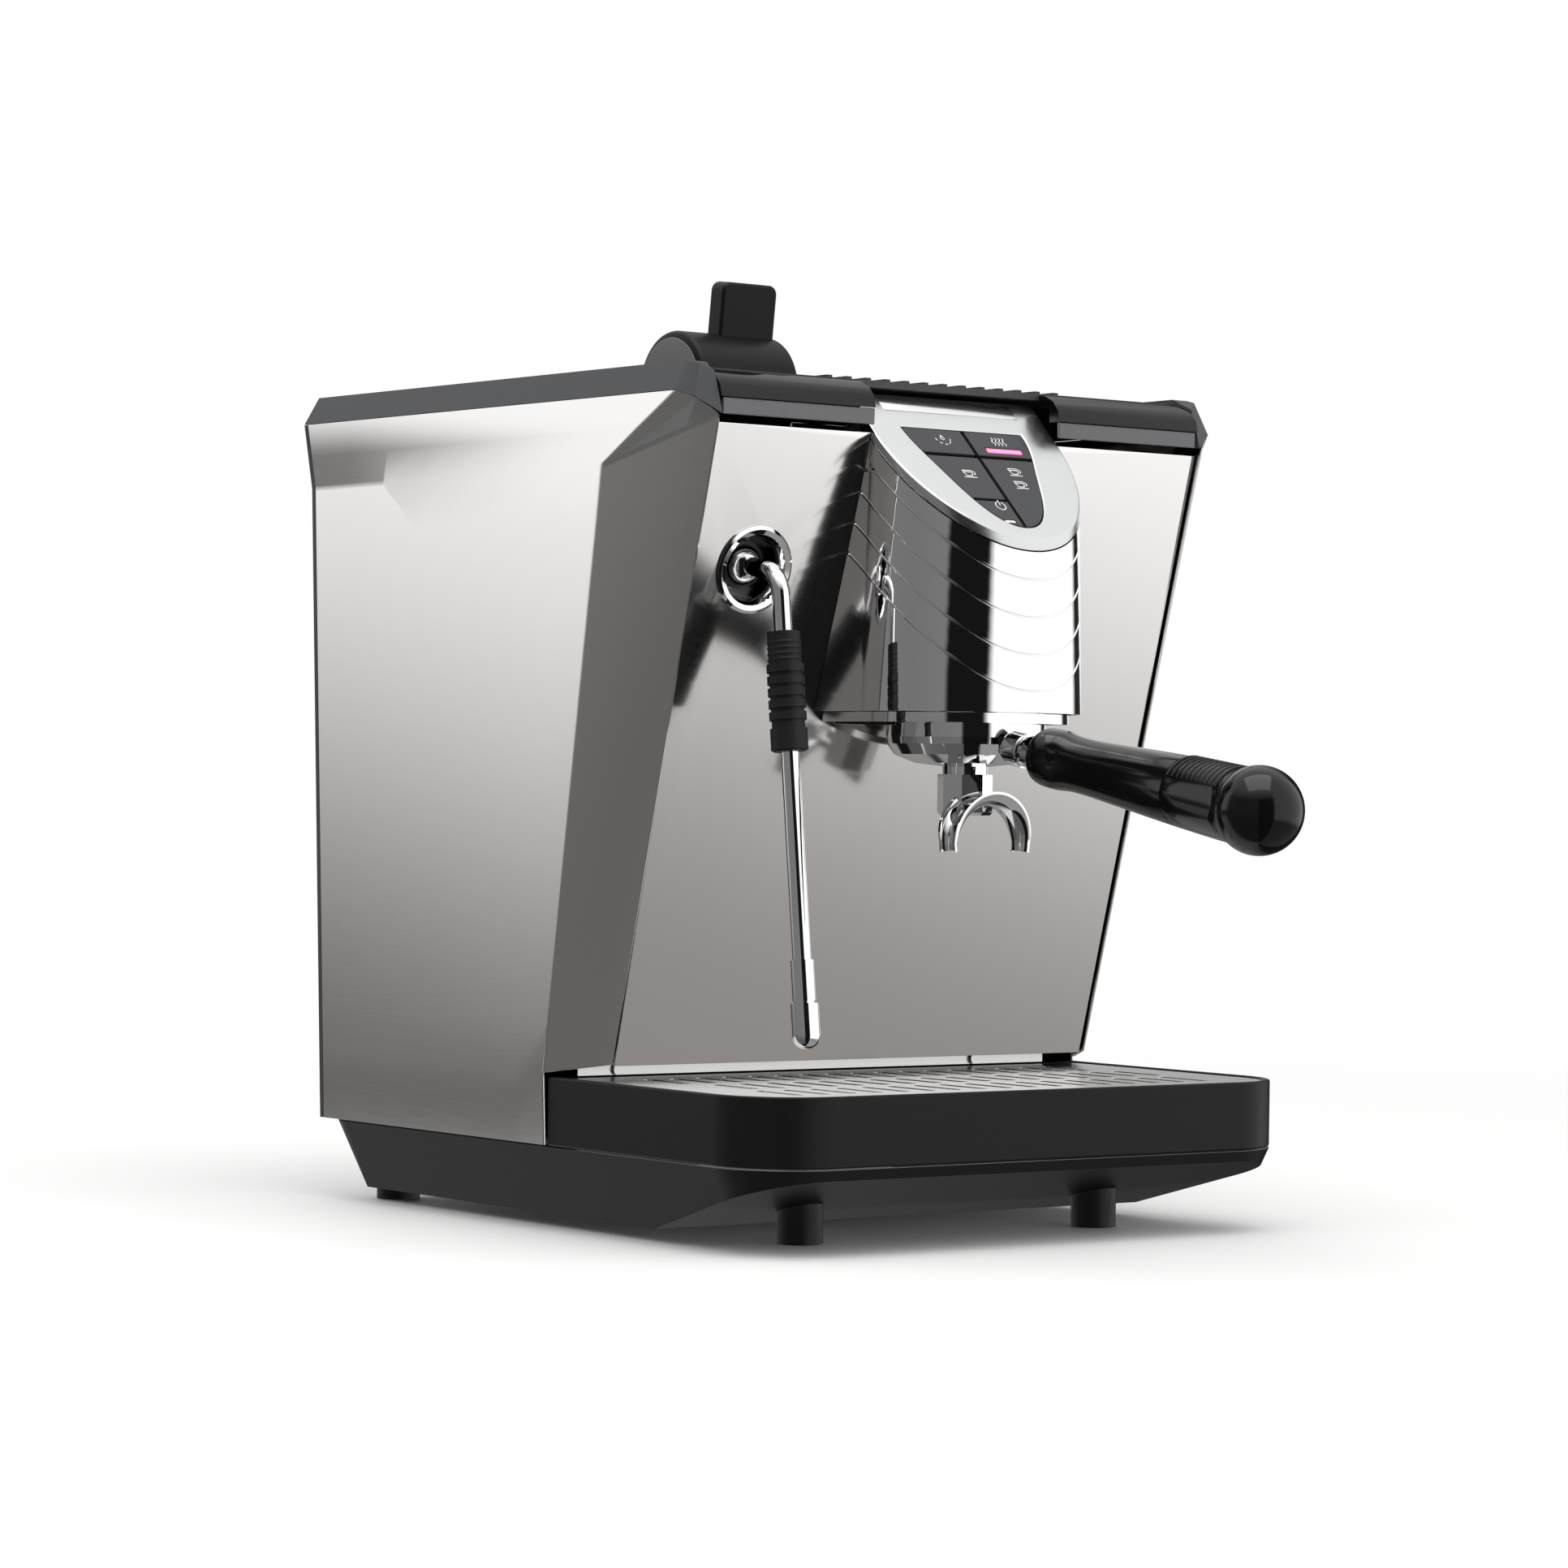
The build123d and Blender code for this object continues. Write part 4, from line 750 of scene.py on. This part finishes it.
def smooth_profile(points, steps=4):
    """More points along a profile, on a curve through the given ones."""
    out = []
    for i in range(len(points) - 1):
        p0, p1 = points[max(i - 1, 0)], points[i]
        p2, p3 = points[i + 1], points[min(i + 2, len(points) - 1)]
        for k in range(steps):
            t = k / steps
            out.append(tuple(0.5 * (2 * b + (c - a) * t + (2 * a - 5 * b + 4 * c - d) * t * t
                                    + (3 * b - a - 3 * c + d) * t ** 3)
                             for a, b, c, d in zip(p0, p1, p2, p3)))
    out.append(points[-1])
    return out


class ESPRESSO_OT_wand(bpy.types.Operator):
    """Adds the rings around the steam wand's sleeve"""
    bl_idname = "espresso.wand"
    bl_label = "Steam wand"

    def execute(self, context):
        sizes = context.scene.espresso_sizes
        x, y_low, z_low = WAND
        low = point(x, y_low, z_low)
        high = point(x, *WAND_ELBOW)
        down = (low - high).normalized()
        cup = rounded("wand_socket", 0.0003)
        # faces deeper in the socket than its lip wear dark chrome: painted shade inside the recess
        cup.data.materials.append(FINISHES["dark_chrome"])
        shade_line = point(0, panel_y(SOCKET_Z), SOCKET_Z).dot(PANEL_OUTWARD) - SOCKET_SHADE_DEPTH
        for face in cup.data.polygons:
            face.material_index = int(face.center.dot(PANEL_OUTWARD) < shade_line)
        at = (z_to(high, down, 0.2535))
        rings = grown("sleeve_rings", ring_tree(), {
            "Count": sizes.sleeve_rings, "Radius": 0.0066, "Thickness": 0.0007, "Growth": 0.0,
            "First angle": 0.0, "Sweep angle": 2 * pi,
            "Step": down * 0.0024, "Start": at, "Turn": down.to_track_quat("Z", "Y").to_euler(),
        }, "rubber")
        settle(rings, "wand", "rubber")
        return {"FINISHED"}


def z_to(start, way, z):
    """The point on a line at a height."""
    return start + way * ((z - start.z) / way.z)


class ESPRESSO_OT_lever(bpy.types.Operator):
    """Rounds the steam lever's grey end disc"""
    bl_idname = "espresso.lever"
    bl_label = "Steam lever"

    def execute(self, context):
        rounded("lever_end_disc", 0.0003)
        return {"FINISHED"}


class ESPRESSO_OT_tray(bpy.types.Operator):
    """Rounds the drip tray, its grate and the base"""
    bl_idname = "espresso.tray"
    bl_label = "Drip tray and base"

    def execute(self, context):
        low = [rounded("drip_tray", 0.0009), rounded("base_tub", 0.0009),
               rounded("drip_grate", 0.0003, segments=1, sharp=50.0)]
        for piece in low:
            piece.visible_glossy = False
        return {"FINISHED"}


class ESPRESSO_OT_stage(bpy.types.Operator):
    """Sets the floor, the studio light and the camera"""
    bl_idname = "espresso.stage"
    bl_label = "Stage"

    def execute(self, context):
        scene = context.scene
        scene.view_settings.view_transform = "Standard"
        make_floor()
        make_world(scene)
        make_lights()
        make_camera(scene)
        return {"FINISHED"}


def make_floor():
    """A pale round floor that fades out at its rim."""
    bm = bmesh.new()
    bmesh.ops.create_circle(bm, cap_ends=True, radius=1.6, segments=96)
    mesh = bpy.data.meshes.new("floor")
    bm.to_mesh(mesh)
    bm.free()
    floor = bpy.data.objects.new("floor", mesh)
    bpy.context.scene.collection.objects.link(floor)
    material = bpy.data.materials.new("floor")
    material.use_nodes = True
    tree = material.node_tree
    shader = tree.nodes["Principled BSDF"]
    shader.inputs["Roughness"].default_value = 0.6
    shader.inputs["Base Color"].default_value = (0.86, 0.855, 0.85, 1)
    place = tree.nodes.new("ShaderNodeTexCoord")
    length = tree.nodes.new("ShaderNodeVectorMath")
    length.operation = "LENGTH"
    fade = tree.nodes.new("ShaderNodeMapRange")
    fade.interpolation_type = "SMOOTHSTEP"
    for name, value in (("From Min", 0.55), ("From Max", 1.5), ("To Min", 1.0), ("To Max", 0.0)):
        fade.inputs[name].default_value = value
    tree.links.new(place.outputs["Object"], length.inputs[0])
    tree.links.new(length.outputs["Value"], fade.inputs["Value"])
    tree.links.new(fade.outputs["Result"], shader.inputs["Alpha"])
    mesh.materials.append(material)
    floor.visible_glossy = False


# The studio round the machine. Each row is a direction, in degrees from the front towards the right,
# then the brightness below and above a soft edge, the height of that edge in degrees, the brightness
# of the table further down and the height of its edge.
SURROUND = (
    (-180, 0.16, 1.15, 0.5, 0.7, -9.0), (-150, 0.13, 1.15, 0.5, 0.7, -9.0),
    (-134, 0.13, 1.15, 0.5, 0.7, -9.0), (-127, 0.13, 0.2, 0.0, 0.13, -24.0),
    (-80, 0.15, 0.18, -6.0, 0.1, -30.0), (-46, 0.16, 0.2, -6.0, 0.1, -30.0),
    (-42, 0.006, 0.008, -10.0, 0.006, -40.0), (-6, 0.006, 0.008, -16.0, 0.006, -40.0),
    (0, 0.3, 1.15, -21.0, 0.3, -40.0), (60, 0.28, 1.15, -21.0, 0.3, -40.0),
    (96, 0.28, 1.15, -14.0, 0.3, -40.0), (104, 0.012, 0.015, -8.0, 0.012, -40.0),
    (126, 0.03, 0.04, 0.0, 0.03, -40.0), (150, 0.3, 0.9, 0.0, 0.5, -12.0),
    (180, 0.16, 1.15, 0.5, 0.7, -9.0),
)
EDGE_HALF = 5.0                 # half the height over which a soft edge spreads, degrees
EDGE_SCALE = 90.0


def ramp_of(tree, column):
    """One value of the surroundings round the horizon, as a ramp."""
    node = tree.nodes.new("ShaderNodeValToRGB")
    ramp = node.color_ramp
    while len(ramp.elements) < len(SURROUND):
        ramp.elements.new(0.5)
    warm = (1.0, 0.965, 0.945) if column == 1 else (1.0, 1.0, 1.0)
    for element, row in zip(ramp.elements, SURROUND):
        element.position = (row[0] + 180) / 360
        value = 0.5 + row[column] / EDGE_SCALE if column in (3, 5) else row[column]
        element.color = (*(value * c for c in warm), 1)
    return node


def make_world(scene):
    """Studio surroundings: white cards and dark gaps round the machine, softer below."""
    world = bpy.data.worlds.new("studio")
    scene.world = world
    world.use_nodes = True
    tree = world.node_tree
    back = tree.nodes["Background"]
    place = tree.nodes.new("ShaderNodeTexCoord")
    parts = tree.nodes.new("ShaderNodeSeparateXYZ")
    flip = tree.nodes.new("ShaderNodeMath")
    flip.operation = "MULTIPLY"
    flip.inputs[1].default_value = -1.0
    around = tree.nodes.new("ShaderNodeMath")
    around.operation = "ARCTAN2"
    share = tree.nodes.new("ShaderNodeMapRange")
    for name, value in (("From Min", -pi), ("From Max", pi), ("To Min", 0.0), ("To Max", 1.0)):
        share.inputs[name].default_value = value
    tree.links.new(place.outputs["Generated"], parts.inputs[0])
    tree.links.new(parts.outputs["Y"], flip.inputs[0])
    tree.links.new(parts.outputs["X"], around.inputs[0])
    tree.links.new(flip.outputs["Value"], around.inputs[1])
    tree.links.new(around.outputs["Value"], share.inputs["Value"])
    low, high, edge, table, table_edge = (ramp_of(tree, column) for column in range(1, 6))
    # the direction's height above the edge, both on the ramp's scale of 0 to 1
    steep = tree.nodes.new("ShaderNodeMath")
    steep.operation = "ARCSINE"
    scaled = tree.nodes.new("ShaderNodeMath")
    scaled.operation = "MULTIPLY_ADD"
    scaled.inputs[1].default_value = 180 / pi / EDGE_SCALE
    scaled.inputs[2].default_value = 0.5
    above = tree.nodes.new("ShaderNodeMath")
    above.operation = "SUBTRACT"
    rise = tree.nodes.new("ShaderNodeMapRange")
    rise.interpolation_type = "SMOOTHSTEP"
    for name, value in (("From Min", -EDGE_HALF / EDGE_SCALE), ("From Max", EDGE_HALF / EDGE_SCALE),
                        ("To Min", 0.0), ("To Max", 1.0)):
        rise.inputs[name].default_value = value
    tree.links.new(parts.outputs["Z"], steep.inputs[0])
    tree.links.new(steep.outputs["Value"], scaled.inputs[0])
    tree.links.new(scaled.outputs["Value"], above.inputs[0])
    tree.links.new(edge.outputs["Color"], above.inputs[1])
    tree.links.new(above.outputs["Value"], rise.inputs["Value"])
    blend = tree.nodes.new("ShaderNodeMix")
    blend.data_type = "RGBA"
    over = tree.nodes.new("ShaderNodeMapRange")
    for name, value in (("From Min", 0.45), ("From Max", 0.75), ("To Min", 0.0), ("To Max", 1.0)):
        over.inputs[name].default_value = value
    tree.links.new(parts.outputs["Z"], over.inputs["Value"])
    roof = tree.nodes.new("ShaderNodeMix")
    roof.data_type = "RGBA"
    roof.inputs["B"].default_value = (1.1, 1.1, 1.1, 1)
    for node in (low, high, edge, table, table_edge):
        tree.links.new(share.outputs["Result"], node.inputs["Fac"])
    tree.links.new(rise.outputs["Result"], blend.inputs["Factor"])
    tree.links.new(low.outputs["Color"], blend.inputs["A"])
    tree.links.new(high.outputs["Color"], blend.inputs["B"])
    below = tree.nodes.new("ShaderNodeMath")
    below.operation = "SUBTRACT"
    sink = tree.nodes.new("ShaderNodeMapRange")
    sink.interpolation_type = "SMOOTHSTEP"
    for name, value in (("From Min", -2.0 / EDGE_SCALE), ("From Max", 2.0 / EDGE_SCALE),
                        ("To Min", 1.0), ("To Max", 0.0)):
        sink.inputs[name].default_value = value
    ground = tree.nodes.new("ShaderNodeMix")
    ground.data_type = "RGBA"
    tree.links.new(scaled.outputs["Value"], below.inputs[0])
    tree.links.new(table_edge.outputs["Color"], below.inputs[1])
    tree.links.new(below.outputs["Value"], sink.inputs["Value"])
    tree.links.new(sink.outputs["Result"], ground.inputs["Factor"])
    tree.links.new(blend.outputs["Result"], ground.inputs["A"])
    tree.links.new(table.outputs["Color"], ground.inputs["B"])
    tree.links.new(over.outputs["Result"], roof.inputs["Factor"])
    tree.links.new(ground.outputs["Result"], roof.inputs["A"])
    ray = tree.nodes.new("ShaderNodeLightPath")
    seen = tree.nodes.new("ShaderNodeMix")
    seen.data_type = "RGBA"
    seen.inputs["B"].default_value = (1.0, 1.0, 1.0, 1)
    tree.links.new(ray.outputs["Is Camera Ray"], seen.inputs["Factor"])
    tree.links.new(roof.outputs["Result"], seen.inputs["A"])
    tree.links.new(seen.outputs["Result"], back.inputs["Color"])
    back.inputs["Strength"].default_value = 1.0


def make_lights():
    """Large soft lamps over the machine and to its front right."""
    for name, place, size, power in (
        ("top", (-0.3, -0.4, 1.9), 1.6, 17.0),
        ("left", (-1.9, 0.1, 1.3), 1.0, 5.0),
        ("right", (1.5, -1.3, 1.1), 0.9, 5.0),
    ):
        lamp = bpy.data.lights.new(name, "AREA")
        lamp.size = size
        lamp.energy = power
        made = bpy.data.objects.new(name, lamp)
        made.location = place
        aim = Vector((0, 0, 0.2)) - Vector(place)
        made.rotation_euler = aim.to_track_quat("-Z", "Y").to_euler()
        made.visible_glossy = name == "top"
        bpy.context.scene.collection.objects.link(made)


def make_camera(scene):
    """The camera, level and a little below the group's height, at the machine's front left."""
    data = bpy.data.cameras.new("camera")
    data.lens = 106.15
    data.sensor_width = 36.0
    data.clip_start = 0.05
    camera = bpy.data.objects.new("camera", data)
    azimuth, pitch, roll = radians(36.67), radians(0.06), radians(0.807)
    forward = Vector((sin(azimuth) * cos(pitch), cos(azimuth) * cos(pitch), sin(pitch)))
    right = Vector((cos(azimuth), -sin(azimuth), 0))
    up = right.cross(forward)
    x_axis = right * cos(roll) + up * sin(roll)
    y_axis = up * cos(roll) - right * sin(roll)
    turn = Matrix((x_axis, y_axis, -forward)).transposed()
    camera.rotation_mode = "QUATERNION"
    camera.rotation_quaternion = turn.to_quaternion()
    camera.location = point(-1257.9, -1678.3, 192.3)
    scene.collection.objects.link(camera)
    scene.camera = camera


# ---------------------------------------------------------------- panel and registration
OPERATORS = (
    ESPRESSO_OT_finishes,
    ESPRESSO_OT_casing,
    ESPRESSO_OT_top,
    ESPRESSO_OT_cover,
    ESPRESSO_OT_controls,
    ESPRESSO_OT_portafilter,
    ESPRESSO_OT_wand,
    ESPRESSO_OT_lever,
    ESPRESSO_OT_tray,
    ESPRESSO_OT_stage,
)


class ESPRESSO_PT_panel(bpy.types.Panel):
    """Lists the machine's sizes, colours and pieces"""
    bl_idname = "ESPRESSO_PT_panel"
    bl_label = "Espresso Machine"
    bl_space_type = "VIEW_3D"
    bl_region_type = "UI"
    bl_category = "Espresso"

    def draw(self, context):
        for group in (context.scene.espresso_colours, context.scene.espresso_sizes):
            for name in group.__annotations__:
                self.layout.prop(group, name)
        for operator in OPERATORS:
            self.layout.operator(operator.bl_idname)


CLASSES = (EspressoColours, EspressoSizes) + OPERATORS + (ESPRESSO_PT_panel,)


def register():
    for cls in CLASSES:
        bpy.utils.register_class(cls)
    bpy.types.Scene.espresso_colours = bpy.props.PointerProperty(type=EspressoColours)
    bpy.types.Scene.espresso_sizes = bpy.props.PointerProperty(type=EspressoSizes)


def unregister():
    del bpy.types.Scene.espresso_sizes
    del bpy.types.Scene.espresso_colours
    for cls in reversed(CLASSES):
        bpy.utils.unregister_class(cls)


def main():
    register()
    for operator in OPERATORS:
        group, name = operator.bl_idname.split(".")
        getattr(getattr(bpy.ops, group), name)()


if __name__ == "__main__":
    main()
